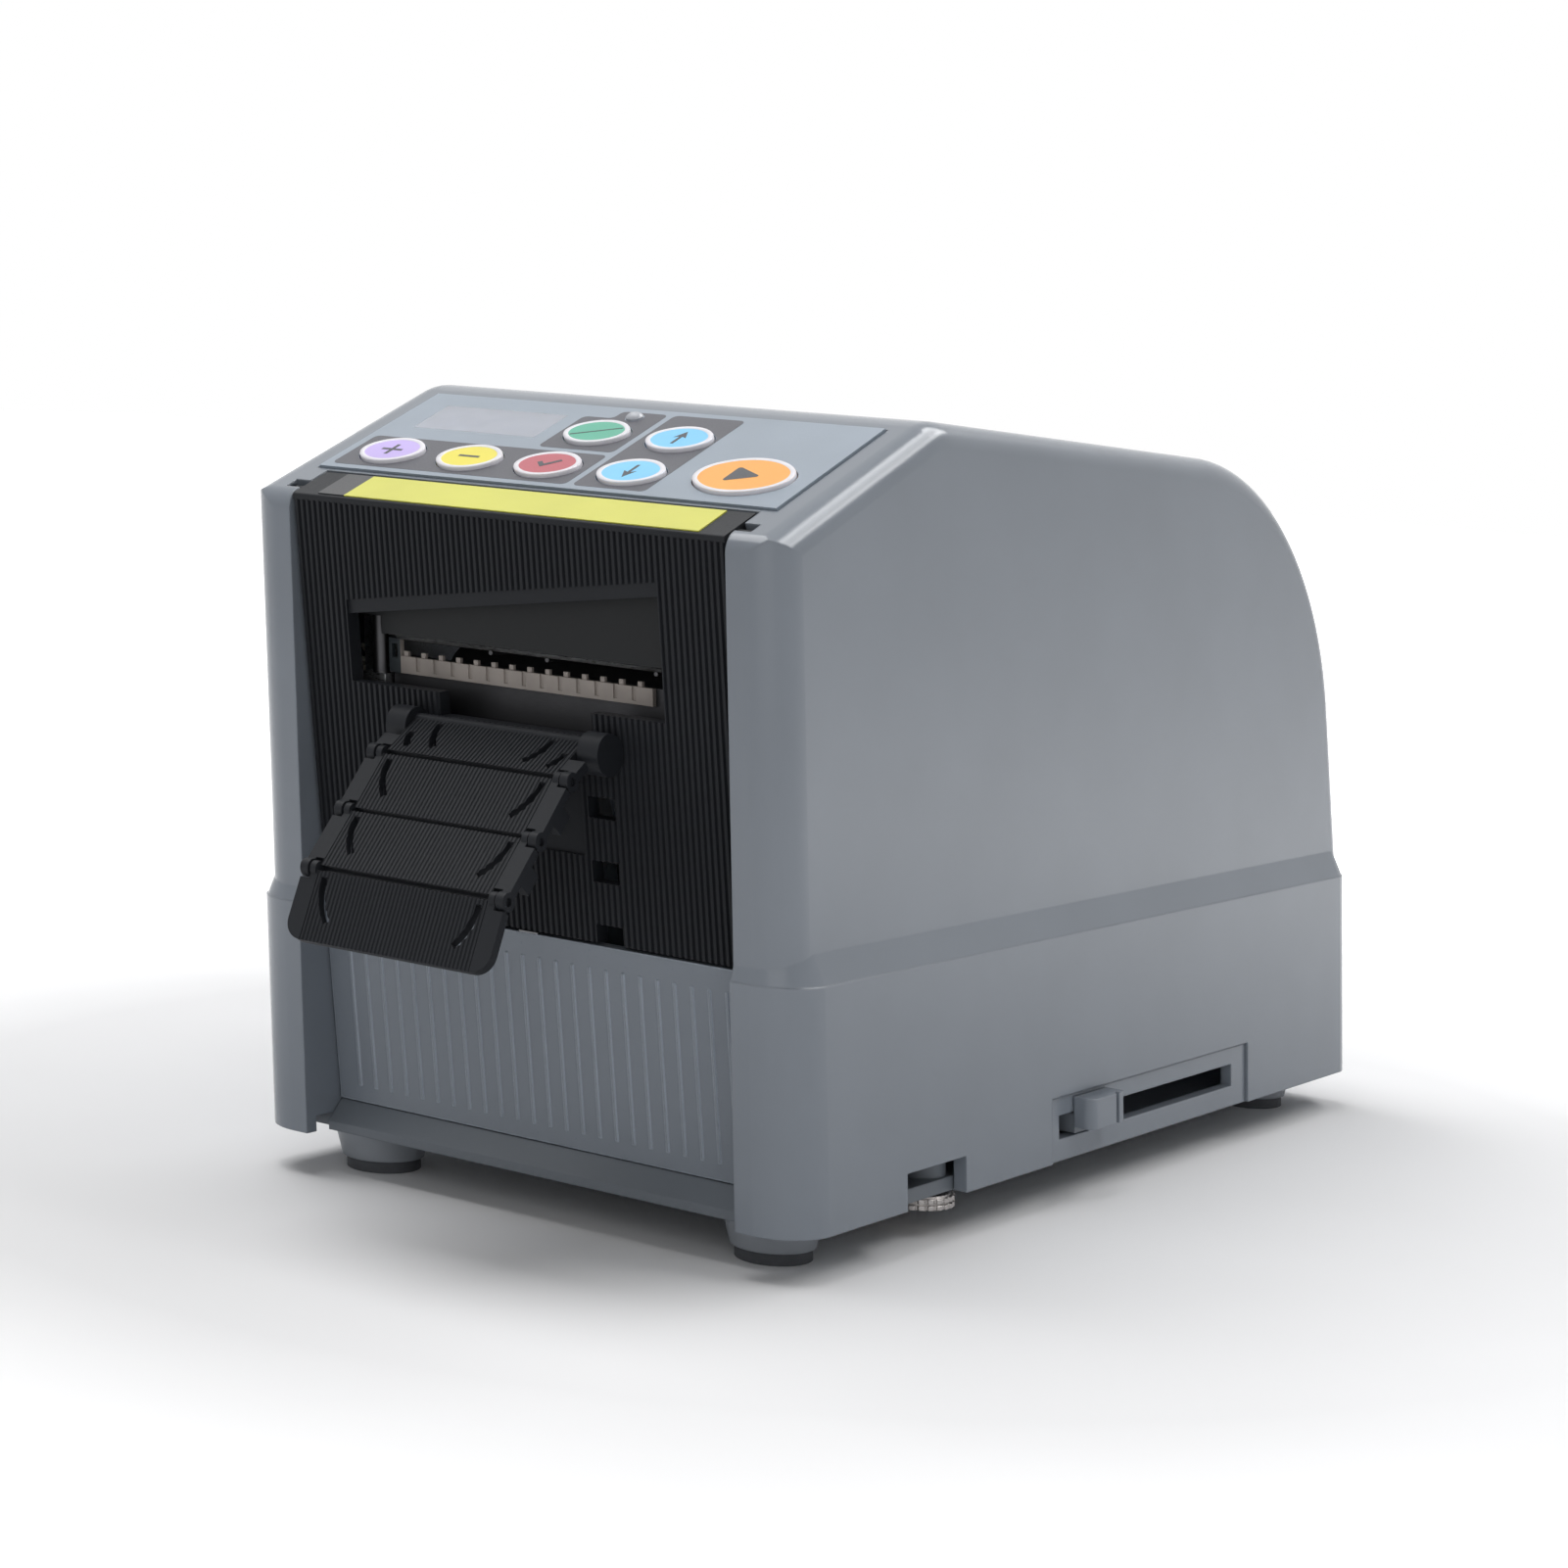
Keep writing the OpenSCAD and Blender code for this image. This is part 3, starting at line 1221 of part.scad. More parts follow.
module switch_frame() {
    color(black) place() difference() {
        union() {
            switch_cut(sw_w/2, sw_h/2, yb - 11, yb - 0.1);
            switch_cut(sw_w/2 + 1.1, sw_h/2 + 1.1, yb - 0.8, yb - 0.1);
        }
        switch_cut(sw_w/2 - 1.2, sw_h/2 - 1.2, yb - 10, yb + 1);
        rod_x(sw_x - sw_w/2 + 0.4, sw_x + sw_w/2 - 0.4, rock_y, sw_z, 1 + run);
    }
}
module switch_rocker() {
    w = sw_w/2 - 1.2 - seat;
    color([0.16, 0.16, 0.17]) place() translate([sw_x, rock_y, sw_z]) rotate([-7, 0, 0]) {
        along_x(-w, w)
            polygon([[-2.4, -4], [1, -7.6], [4.1, -7.6], [3.2, 0], [4.1, 7.6], [1, 7.6], [-2.4, 4]]);
        rod_x(-sw_w/2 + 0.6, sw_w/2 - 0.6, 0, 0, 1);
    }
}

upper_housing();
base_chassis();
slider_plate();
lower_front_panel();
front_cover();
cover_band();
cover_catch();
tray_plate_1();
tray_plate_2();
tray_plate_3();
tray_plate_4();
keypad_overlay();
display_window();
display_module();
indicator_lens();
key_plus();
key_minus();
key_select();
key_mode();
key_up();
key_down();
key_start();
keypad_board();
control_board();
frame_plate_left();
frame_plate_right();
feed_shaft();
feed_roller();
feed_gear();
pinch_shaft();
pinch_roller();
feed_motor();
feed_pinion();
cutter_motor();
cutter_pinion();
idler_gear();
idler_axle();
crank();
crank_gear();
blade_carrier();
moving_blade();
fixed_blade();
outlet_comb();
stripper_wires();
guide_rods();
guide_bar();
roll_carriage();
carriage_knob();
carriage_axle();
front_support_roller();
rear_axle();
rear_support_roller();
thumb_screw();
foot_bodies();
foot_pads();
housing_screws();
dc_jack();
switch_frame();
switch_rocker();
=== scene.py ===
import json
import math

import bmesh
import bpy
import numpy as np
from mathutils import Matrix, Vector


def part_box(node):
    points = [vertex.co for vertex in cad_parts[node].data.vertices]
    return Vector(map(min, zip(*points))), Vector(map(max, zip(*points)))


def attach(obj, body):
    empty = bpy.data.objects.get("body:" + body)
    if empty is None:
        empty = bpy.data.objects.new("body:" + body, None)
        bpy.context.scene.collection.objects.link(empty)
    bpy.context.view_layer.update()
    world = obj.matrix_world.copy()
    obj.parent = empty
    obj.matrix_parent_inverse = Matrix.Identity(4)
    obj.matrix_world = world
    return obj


# looks of the tape dispenser: finishes, rims and print on the keys, floor, light and camera

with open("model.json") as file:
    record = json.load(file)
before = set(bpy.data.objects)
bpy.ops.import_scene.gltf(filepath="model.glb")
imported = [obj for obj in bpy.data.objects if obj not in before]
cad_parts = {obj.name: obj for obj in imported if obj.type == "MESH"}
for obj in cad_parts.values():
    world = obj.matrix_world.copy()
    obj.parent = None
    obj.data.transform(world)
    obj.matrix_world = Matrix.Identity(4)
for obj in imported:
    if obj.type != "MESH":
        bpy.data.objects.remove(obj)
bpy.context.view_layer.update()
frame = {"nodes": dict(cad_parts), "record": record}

MM = 0.001

# places below are measured from the housing's middle, on the floor
HOUSING_LOW, HOUSING_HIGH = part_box("upper_housing")
BODY = Vector(((HOUSING_LOW[0] + HOUSING_HIGH[0]) / 2, (HOUSING_LOW[1] + HOUSING_HIGH[1]) / 2, 0))

# sloping deck of the keypad: a point on its front edge and its tilt
DECK_ORIGIN = BODY + Vector((0, -105.3, 120.352)) * MM
DECK_TILT = math.radians(21.5)
# heights above the slope, in mm
OVERLAY_TOP = 0.4
KEY_TOP = 1.0

# keys: place across and up the slope, width and height, in mm
SMALL_KEY = (12.6, 10.6)
START_KEY = (18.5, 15.0)
KEYS = {
    "key_plus": ((-37.5, 20.4), SMALL_KEY),
    "key_minus": ((-20.4, 20.4), SMALL_KEY),
    "key_select": ((-3.5, 20.4), SMALL_KEY),
    "key_mode": ((-3.5, 35.8), SMALL_KEY),
    "key_up": ((14.0, 35.8), SMALL_KEY),
    "key_down": ((14.0, 20.4), SMALL_KEY),
    "key_start": ((35.3, 22.8), START_KEY),
}
HOLE_GAP = 0.35
LED_PLACE = (-1.1, 44.3)
LED_RADIUS = 1.6
LED_GAP = 0.2
PRINT_THICK = 0.03
# the band is yellow from here on, measured across from the middle
BAND_START = -34.0
# width of the bracket at the comb's left end
COMB_BRACKET = 2.55
# half the width of the step between two colours on one piece, in metres
ZONE_EDGE = 0.05 * MM

# how far a surface's roughness strays below and above its middle
PLASTIC_SPREAD = (0.03, 0.04)
FILM_SPREAD = (0.04, 0.05)
SOLID_SPREAD = (0.08, 0.1)
# size in mm of the flow marks in moulded plastic
PLASTIC_FLOW = 28.0
# slow changes of tone: their size in mm, and the darkest and palest shade
FILM_DRIFT = (18.0, 0.96, 1.05)
COMB_DRIFT = (5.0, 0.88, 1.08)
METAL_STAIN = (9.0, 0.88, 1.0)
# grain of printed film: its size and its depth, in mm
FILM_WEAVE = 0.22
FILM_DEPTH = 0.004
# spacing of a circuit board's tracks in mm, and their width as a share of it
TRACK_PITCH = 6
TRACK_SHARE = 0.03


def srgb(red, green, blue):
    """Linear colour of an sRGB one given in 0 to 255."""
    def linear(level):
        level = level / 255
        return level / 12.92 if level <= 0.04045 else ((level + 0.055) / 1.055) ** 2.4
    return (linear(red), linear(green), linear(blue), 1.0)


def shade(colour, factor):
    return tuple(channel * factor for channel in colour[:3]) + (1.0,)


# materials

class Recipe:
    """A node material with a few short ways to add to its Principled shader."""

    def __init__(self, name):
        self.material = bpy.data.materials.new(name)
        self.material.use_nodes = True
        self.tree = self.material.node_tree
        self.shader = self.tree.nodes["Principled BSDF"]
        self.coords = self.tree.nodes.new("ShaderNodeTexCoord")

    def node(self, kind, **inputs):
        made = self.tree.nodes.new(kind)
        for label, value in inputs.items():
            made.inputs[label.replace("_", " ")].default_value = value
        return made

    def link(self, out, to):
        self.tree.links.new(out, to)

    def set(self, **inputs):
        for label, value in inputs.items():
            self.shader.inputs[label.replace("_", " ")].default_value = value

    def stretched(self, scale):
        """Object coordinates, stretched along each axis."""
        mapping = self.node("ShaderNodeMapping", Scale=scale)
        self.link(self.coords.outputs["Object"], mapping.inputs["Vector"])
        return mapping.outputs["Vector"]

    def noise(self, size_mm, detail=2.0, vector=None):
        made = self.node("ShaderNodeTexNoise", Scale=1 / (size_mm * MM), Detail=detail)
        self.link(vector or self.coords.outputs["Object"], made.inputs["Vector"])
        return made.outputs["Fac"]

    def remap(self, value, low, high, start=0.3, end=0.7):
        made = self.node("ShaderNodeMapRange", From_Min=start, From_Max=end, To_Min=low, To_Max=high)
        self.link(value, made.inputs["Value"])
        return made.outputs["Result"]

    def spread(self, value, middle, around):
        """Values a little below and above a middle one."""
        return self.remap(value, middle - around[0], middle + around[1])

    def drift(self, colour, size_mm, low, high, detail=2.0):
        """A colour that wanders slowly between two of its shades."""
        slow = self.remap(self.noise(size_mm, detail), 0.0, 1.0)
        return self.mix(slow, shade(colour, low), shade(colour, high))

    def beyond(self, axis, place):
        """0 before a place along an axis and 1 after it."""
        split = self.tree.nodes.new("ShaderNodeSeparateXYZ")
        self.link(self.coords.outputs["Object"], split.inputs["Vector"])
        return self.remap(split.outputs[axis], 0.0, 1.0, place - ZONE_EDGE, place + ZONE_EDGE)

    def mix(self, factor, first, second):
        made = self.tree.nodes.new("ShaderNodeMix")
        made.data_type = "RGBA"
        self.link(factor, made.inputs["Factor"])
        for value, socket in ((first, made.inputs[6]), (second, made.inputs[7])):
            if isinstance(value, tuple):
                socket.default_value = value
            else:
                self.link(value, socket)
        return made.outputs[2]

    def bevel(self, radius_mm):
        made = self.node("ShaderNodeBevel", Radius=radius_mm * MM)
        made.samples = 4
        return made.outputs["Normal"]

    def edges(self, soft, start=0.02, end=0.25):
        """0 on flat stretches and 1 on edges, from a softened normal."""
        geometry = self.tree.nodes.new("ShaderNodeNewGeometry")
        dot = self.tree.nodes.new("ShaderNodeVectorMath")
        dot.operation = "DOT_PRODUCT"
        self.link(soft, dot.inputs[0])
        self.link(geometry.outputs["Normal"], dot.inputs[1])
        return self.remap(dot.outputs["Value"], 1.0, 0.0, 1 - end, 1 - start)

    def bump(self, height, depth_mm, soft=None):
        made = self.node("ShaderNodeBump", Strength=1.0, Distance=depth_mm * MM)
        self.link(height, made.inputs["Height"])
        if soft is not None:
            self.link(soft, made.inputs["Normal"])
        return made.outputs["Normal"]

    def finish(self, colour=None, roughness=None, normal=None):
        for value, label in ((colour, "Base Color"), (roughness, "Roughness"), (normal, "Normal")):
            if value is not None:
                self.link(value, self.shader.inputs[label])
        return self.material


def moulded(name, colour, rough, grain=0.35, depth=0.002, edge=0.4, blotch=0.03, wear_and_highlight=1.04, sheen=0.45):
    """Moulded plastic: fine spark grain, faint flow blotches, softened edges painted lighter, partly as
    slight wear and partly as a painted highlight.
    """
    recipe = Recipe(name)
    fine = recipe.noise(grain, 3.0)
    soft = recipe.bevel(edge)
    tone = recipe.drift(colour, PLASTIC_FLOW, 1 - blotch, 1 + blotch)
    # edges painted lighter by a factor: partly slight wear, partly a painted highlight along the edges
    tone = recipe.mix(recipe.edges(soft), tone, shade(colour, wear_and_highlight))
    recipe.set(Specular_IOR_Level=sheen)
    return recipe.finish(tone, recipe.spread(fine, rough, PLASTIC_SPREAD), recipe.bump(fine, depth, soft))


def film(name, colour, rough, weave=FILM_WEAVE):
    """Printed polyester film: very fine grain and a slight tone drift."""
    recipe = Recipe(name)
    fine = recipe.noise(weave, 2.0)
    tone = recipe.drift(colour, *FILM_DRIFT)
    recipe.set(Specular_IOR_Level=0.4)
    return recipe.finish(tone, recipe.spread(fine, rough, FILM_SPREAD), recipe.bump(fine, FILM_DEPTH))


def banded(name, colour, start_colour, rough, start_mm):
    """Film in one colour from a place across the body on, and in another before it."""
    recipe = Recipe(name)
    fine = recipe.noise(FILM_WEAVE, 2.0)
    tone = recipe.drift(colour, *FILM_DRIFT)
    tone = recipe.mix(recipe.beyond("X", BODY.x + start_mm * MM), start_colour, tone)
    return recipe.finish(tone, recipe.spread(fine, rough, FILM_SPREAD), recipe.bump(fine, FILM_DEPTH))


def comb_plastic(name, colour, bracket_colour, rough):
    """Pale moulded comb with a dark bracket at its left end."""
    recipe = Recipe(name)
    fine = recipe.noise(0.3, 3.0)
    soft = recipe.bevel(0.15)
    tone = recipe.drift(colour, *COMB_DRIFT)
    bracket_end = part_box("outlet_comb")[0][0] + COMB_BRACKET * MM
    tone = recipe.mix(recipe.beyond("X", bracket_end), bracket_colour, tone)
    recipe.set(Specular_IOR_Level=0.3)
    return recipe.finish(tone, recipe.spread(fine, rough, FILM_SPREAD), recipe.bump(fine, 0.002, soft))


def metal(name, colour, rough, lines=(1.0, 14.0, 14.0), depth=0.004):
    """Drawn or brushed metal: fine lines along the first axis, with a little staining."""
    recipe = Recipe(name)
    brushed = recipe.noise(1.6, 3.0, recipe.stretched(lines))
    soft = recipe.bevel(0.2)
    tone = recipe.drift(colour, *METAL_STAIN)
    recipe.set(Metallic=1.0)
    return recipe.finish(tone, recipe.spread(brushed, rough, SOLID_SPREAD),
                         recipe.bump(brushed, depth, soft))


def rubber(name, colour, rough=0.75):
    """Moulded rubber with a matt, dusty grain."""
    recipe = Recipe(name)
    fine = recipe.noise(0.5, 4.0)
    tone = recipe.drift(colour, 6.0, 1.0, 1.35, detail=4.0)
    recipe.set(Specular_IOR_Level=0.3)
    return recipe.finish(tone, recipe.spread(fine, rough, SOLID_SPREAD),
                         recipe.bump(fine, 0.03, recipe.bevel(0.3)))


def clear_lens(name, colour, rough, through):
    """Clear or frosted plastic, with a faint haze."""
    recipe = Recipe(name)
    haze = recipe.noise(4.0, 3.0)
    tone = recipe.mix(recipe.remap(haze, 0.0, 1.0), shade(colour, 0.95), colour)
    recipe.set(Transmission_Weight=through, IOR=1.49)
    return recipe.finish(tone, recipe.remap(haze, rough, rough + 0.06), recipe.bevel(0.2))


def circuit_board(name, mask, copper):
    """Solder mask over a grid of tracks, seen as paler lines."""
    recipe = Recipe(name)
    bricks = recipe.tree.nodes.new("ShaderNodeTexBrick")
    bricks.inputs["Scale"].default_value = 1 / (TRACK_PITCH * MM)
    bricks.inputs["Mortar Size"].default_value = TRACK_SHARE
    recipe.link(recipe.coords.outputs["Object"], bricks.inputs["Vector"])
    tone = recipe.mix(bricks.outputs["Fac"], mask, copper)
    recipe.set(Specular_IOR_Level=0.5)
    return recipe.finish(tone, recipe.remap(recipe.noise(0.6), 0.3, 0.45),
                         recipe.bump(bricks.outputs["Fac"], 0.03))


HOUSING_GREY = srgb(127, 134, 143)
COVER_BLACK = srgb(33, 35, 39)
FINISHES = {
    # housing edges painted lighter: a painted highlight along the rounded edges
    "housing_grey": moulded("housing_grey", HOUSING_GREY, 0.17, edge=0.5, wear_and_highlight=1.22, sheen=0.38),
    "base_grey": moulded("base_grey", srgb(108, 114, 121), 0.42, sheen=0.3),
    "cover_black": moulded("cover_black", COVER_BLACK, 0.5, edge=0.12, wear_and_highlight=1.0, sheen=0.16),
    "band_yellow": banded("band_yellow", srgb(214, 213, 84), COVER_BLACK, 0.38, BAND_START),
    "overlay_grey": film("overlay_grey", srgb(146, 157, 169), 0.4),
    "lens_clear": clear_lens("lens_clear", srgb(206, 211, 222), 0.1, 0.5),
    "lcd_grey": film("lcd_grey", srgb(186, 190, 201), 0.5, weave=0.4),
    "lens_pale": clear_lens("lens_pale", srgb(216, 220, 228), 0.22, 0.35),
    "key_plus": film("key_plus", srgb(198, 178, 238), 0.36),
    "key_minus": film("key_minus", srgb(240, 226, 74), 0.36),
    "key_select": film("key_select", srgb(187, 86, 98), 0.36),
    "key_mode": film("key_mode", srgb(82, 176, 148), 0.36),
    "key_start": film("key_start", srgb(250, 172, 74), 0.36),
    "key_arrow": film("key_arrow", srgb(126, 206, 250), 0.36),
    "board_green": circuit_board("board_green", srgb(22, 78, 48), srgb(60, 128, 84)),
    "steel": metal("steel", srgb(196, 198, 200), 0.32),
    "plated": metal("plated", srgb(176, 172, 170), 0.26, lines=(1.0, 1.0, 9.0), depth=0.0008),
    "roller_rubber": rubber("roller_rubber", srgb(48, 48, 50)),
    "pad_rubber": rubber("pad_rubber", srgb(74, 76, 80)),
    "gear_white": moulded("gear_white", srgb(226, 224, 214), 0.36, grain=0.6, edge=0.2),
    "gear_brass": metal("gear_brass", srgb(206, 176, 108), 0.3),
    "inner_black": moulded("inner_black", srgb(25, 27, 29), 0.45, edge=0.25, wear_and_highlight=1.1, sheen=0.2),
}
# parts that look unlike the rest of their slot
OWN_FINISH = {
    "outlet_comb": comb_plastic("comb_grey", srgb(168, 160, 154), srgb(46, 52, 56), 0.45),
    # raised lines of the lower front panel painted much lighter at their edges: a painted highlight
    "lower_front_panel": moulded("panel_grey", HOUSING_GREY, 0.3, edge=0.5, wear_and_highlight=2.6, sheen=0.34),
    "foot_bodies": moulded("foot_grey", srgb(140, 145, 152), 0.4),
    "stripper_wires": metal("wire_dark", srgb(84, 84, 86), 0.5),
    "guide_rods": metal("rod_dark", srgb(70, 70, 72), 0.4),
    "fixed_blade": metal("blade_dark", srgb(58, 58, 60), 0.45),
    "cover_catch": metal("catch_dull", srgb(120, 120, 122), 0.4),
}
RING_WHITE = film("key_ring", srgb(232, 230, 236), 0.34)
PRINT_DARK = film("print_dark", srgb(72, 73, 81), 0.42)
INK = film("ink", srgb(52, 56, 62), 0.45)

for part in frame["record"]["subparts"]:
    part_mesh = frame["nodes"][part["node"]].data
    part_mesh.materials.clear()
    part_mesh.materials.append(OWN_FINISH.get(part["node"], FINISHES[part["material_slot"]]))


# outlines on the slope, in mm

def arc(centre, radius, start, end, steps):
    """Points on a circle from one angle to another, both included."""
    angles = [start + (end - start) / steps * i for i in range(steps + 1)]
    return [(centre[0] + radius * math.cos(angle), centre[1] + radius * math.sin(angle))
            for angle in angles]


def circle(centre, radius, steps=32):
    return arc(centre, radius, 0, 2 * math.pi * (steps - 1) / steps, steps - 1)


def oval(width, height, steps=24):
    """Key outline: two small end arcs joined by two wide ones, as the solid keys have it."""
    small = height * 0.4
    reach = width / 2 - small
    rise = height / 2 - small
    drop = (reach * reach - rise * rise) / (2 * rise)
    wide = drop + height / 2
    turn = math.atan2(drop, reach)
    right = arc((reach, 0), small, -turn, turn, steps)
    top = arc((0, -drop), wide, turn, math.pi - turn, steps)[1:-1]
    left = arc((-reach, 0), small, math.pi - turn, math.pi + turn, steps)
    foot = arc((0, drop), wide, math.pi + turn, 2 * math.pi - turn, steps)[1:-1]
    return right + top + left + foot


def rounded(corners, radius, steps=6):
    """A closed outline with its corners rounded."""
    points = []
    count = len(corners)
    for i in range(count):
        here = Vector(corners[i])
        before = (Vector(corners[i - 1]) - here).normalized()
        after = (Vector(corners[(i + 1) % count]) - here).normalized()
        half = before.angle(after) / 2
        inward = (before + after).normalized()
        centre = here + inward * (radius / math.sin(half))
        first = here + before * (radius / math.tan(half)) - centre
        last = here + after * (radius / math.tan(half)) - centre
        start = math.atan2(first.y, first.x)
        sweep = (math.atan2(last.y, last.x) - start + math.pi) % (2 * math.pi) - math.pi
        points += arc(centre, radius, start, start + sweep, steps)
    return points


def moved(outline, place):
    return [(x + place[0], y + place[1]) for x, y in outline]


def on_deck(x, up, above):
    """A point of the row frame from a place on the slope, in mm."""
    across = Vector((1, 0, 0))
    uphill = Vector((0, math.cos(DECK_TILT), math.sin(DECK_TILT)))
    normal = Vector((0, -math.sin(DECK_TILT), math.cos(DECK_TILT)))
    return DECK_ORIGIN + (across * x + uphill * up + normal * above) * MM


def add_piece(name, mesh, material, body):
    piece = bpy.data.objects.new(name, mesh)
    bpy.context.scene.collection.objects.link(piece)
    mesh.materials.append(material)
    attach(piece, body)


def printed(name, outlines, above, material, body):
    """A thin printed layer on the slope; an outline inside another is a hole."""
    curve = bpy.data.curves.new(name, "CURVE")
    curve.dimensions = "2D"
    curve.fill_mode = "BOTH"
    curve.extrude = PRINT_THICK / 2
    for outline in outlines:
        spline = curve.splines.new("POLY")
        spline.points.add(len(outline) - 1)
        spline.use_cyclic_u = True
        for point, (x, up) in zip(spline.points, outline):
            point.co = (x, up, 0, 1)
    shape = bpy.data.objects.new(name + "_outline", curve)
    mesh = bpy.data.meshes.new_from_object(shape)
    bpy.data.objects.remove(shape)
    bpy.data.curves.remove(curve)
    mesh.name = name
    for vertex in mesh.vertices:
        vertex.co = on_deck(vertex.co.x, vertex.co.y, above + PRINT_THICK / 2 + vertex.co.z)
    add_piece(name, mesh, material, body)


def lofted(name, loops, material, body):
    """A band of faces over loops of deck points, each with the same number of points."""
    form = bmesh.new()
    rings = [[form.verts.new(on_deck(*point)) for point in loop] for loop in loops]
    for lower, upper in zip(rings, rings[1:]):
        for i in range(len(lower)):
            j = (i + 1) % len(lower)
            form.faces.new((lower[i], lower[j], upper[j], upper[i]))
    bmesh.ops.recalc_face_normals(form, faces=form.faces)
    mesh = bpy.data.meshes.new(name)
    form.to_mesh(mesh)
    form.free()
    mesh.shade_smooth()
    add_piece(name, mesh, material, body)


# keys: a pale rim on each, and a plain sign

RIM = 0.95
RIM_PROUD = 0.06
# the rim is this much wider than its key, starts this far inside the hole, and has bevelled edges
RIM_OVER = 0.12
RIM_INSIDE = 0.3
RIM_BEVEL_WIDTH = 0.2
RIM_BEVEL_DROP = 0.12
RIM_SUNK = 0.02
# signs on the keys: half their length and the width of a stroke
SIGN_REACH = 2.2
SIGN_STROKE = 0.7


def key_rim(name, place, size):
    """Pale rim that wraps the key's edge from inside its hole to its top."""
    crest = KEY_TOP + RIM_PROUD
    profile = [(RIM_OVER, OVERLAY_TOP - RIM_INSIDE), (RIM_OVER, KEY_TOP - RIM_BEVEL_DROP),
               (RIM_OVER - RIM_BEVEL_WIDTH, crest), (-2 * RIM + RIM_BEVEL_WIDTH, crest),
               (-2 * RIM, KEY_TOP - RIM_SUNK)]
    loops = []
    for grow, above in profile:
        outline = moved(oval(size[0] + grow, size[1] + grow), place)
        loops.append([(x, up, above) for x, up in outline])
    lofted(name + "_rim", loops, RING_WHITE, name)


def bar(length, width, angle):
    """A bar about the origin, turned by an angle in degrees."""
    turn = math.radians(angle)
    along = Vector((math.cos(turn), math.sin(turn))) * (length / 2)
    side = Vector((-math.sin(turn), math.cos(turn))) * (width / 2)
    return [tuple(v) for v in (along + side, -along + side, -along - side, along - side)]


def cross(reach, half):
    """A plus about the origin: three corners, turned by quarters."""
    corners = [(reach, half), (half, half), (half, reach)]
    points = []
    for _ in range(4):
        points += corners
        corners = [(-up, x) for x, up in corners]
    return points


def arrow(way):
    """An arrow along the slope, up for 1 and down for -1."""
    corners = [(-0.3, -2.6), (0.3, -2.6), (0.3, 0.6), (1.25, 0.1), (0, 2.9), (-1.25, 0.1), (-0.3, 0.6)]
    return [(x * way, up * way) for x, up in corners]


SIGNS = {
    "key_plus": cross(SIGN_REACH, SIGN_STROKE / 2),
    "key_minus": bar(2 * SIGN_REACH, SIGN_STROKE, 0),
    "key_select": [(-2.2, 0.1), (-1.5, 0.7), (-0.5, -0.4), (1.7, 2.0), (2.3, 1.4), (-0.5, -1.7)],
    "key_mode": bar(9.6, 0.4, 28),
    "key_up": arrow(1),
    "key_down": arrow(-1),
    "key_start": rounded([(-2.6, 3.2), (-2.6, -3.2), (3.4, 0)], 0.5),
}

for key, (key_place, key_size) in KEYS.items():
    key_rim(key, key_place, key_size)
    printed(key + "_sign", [moved(SIGNS[key], key_place)], KEY_TOP, INK, key)

# dark printed fields behind the keys

FIELD_CORNER = 1.2
FIELDS = {
    "field_row": ([(-46.3, 13.7), (4.6, 13.7), (4.6, 27.1), (-46.3, 27.1)],
                  ["key_plus", "key_minus", "key_select"]),
    "field_mode": ([(-11.4, 28.5), (4.6, 28.5), (4.6, 46.7), (-5.1, 46.7), (-5.1, 43.3), (-11.4, 43.3)],
                   ["key_mode"]),
    "field_arrows": ([(6.0, 13.7), (20.9, 13.7), (20.9, 46.7), (6.0, 46.7)],
                     ["key_up", "key_down"]),
}

for field, (corners, held) in FIELDS.items():
    holes = []
    for key in held:
        key_place, (key_width, key_height) = KEYS[key]
        holes.append(moved(oval(key_width + 2 * HOLE_GAP, key_height + 2 * HOLE_GAP), key_place))
    if field == "field_mode":
        holes.append(circle(LED_PLACE, LED_RADIUS + LED_GAP))
    outlines = [rounded(corners, FIELD_CORNER)] + holes
    printed(field, outlines, OVERLAY_TOP, PRINT_DARK, "body")


# floor and light

FLOOR_TONES = (srgb(244, 244, 245), srgb(249, 249, 250))
FLOOR_PATCH = 120.0
# lamps that make the bright line along the deck's right edge
EDGE_LAMP = (0.48, 0.51, 0.95)
EDGE_AIM = (0, 0, 0.1)


def seen_or_mirrored(tree):
    """1 for rays from the eye, also by way of a mirror or glass."""
    path = tree.nodes.new("ShaderNodeLightPath")
    seen = path.outputs["Is Camera Ray"]
    for other in ("Is Glossy Ray", "Is Transmission Ray"):
        either = tree.nodes.new("ShaderNodeMath")
        either.operation = "MAXIMUM"
        tree.links.new(seen, either.inputs[0])
        tree.links.new(path.outputs[other], either.inputs[1])
        seen = either.outputs["Value"]
    return seen


def pale_floor(half=3.0, cells=12, near=0.17, far=0.48):
    """A wide plain floor that takes a shadow near the object and is white to the eye further out."""
    form = bmesh.new()
    bmesh.ops.create_grid(form, x_segments=cells, y_segments=cells, size=half)
    mesh = bpy.data.meshes.new("floor")
    form.to_mesh(mesh)
    form.free()
    floor = bpy.data.objects.new("floor", mesh)
    bpy.context.scene.collection.objects.link(floor)
    recipe = Recipe("floor_white")
    tone = recipe.mix(recipe.remap(recipe.noise(FLOOR_PATCH), 0.0, 1.0), *FLOOR_TONES)
    distance = recipe.tree.nodes.new("ShaderNodeVectorMath")
    distance.operation = "LENGTH"
    recipe.link(recipe.coords.outputs["Object"], distance.inputs[0])
    glow = recipe.tree.nodes.new("ShaderNodeMath")
    glow.operation = "MULTIPLY"
    recipe.link(recipe.remap(distance.outputs["Value"], 0.0, 1.0, near, far), glow.inputs[0])
    recipe.link(seen_or_mirrored(recipe.tree), glow.inputs[1])
    recipe.link(glow.outputs["Value"], recipe.shader.inputs["Emission Strength"])
    recipe.set(Roughness=0.9, Specular_IOR_Level=0.1, Emission_Color=(1, 1, 1, 1))
    mesh.materials.append(recipe.finish(tone))


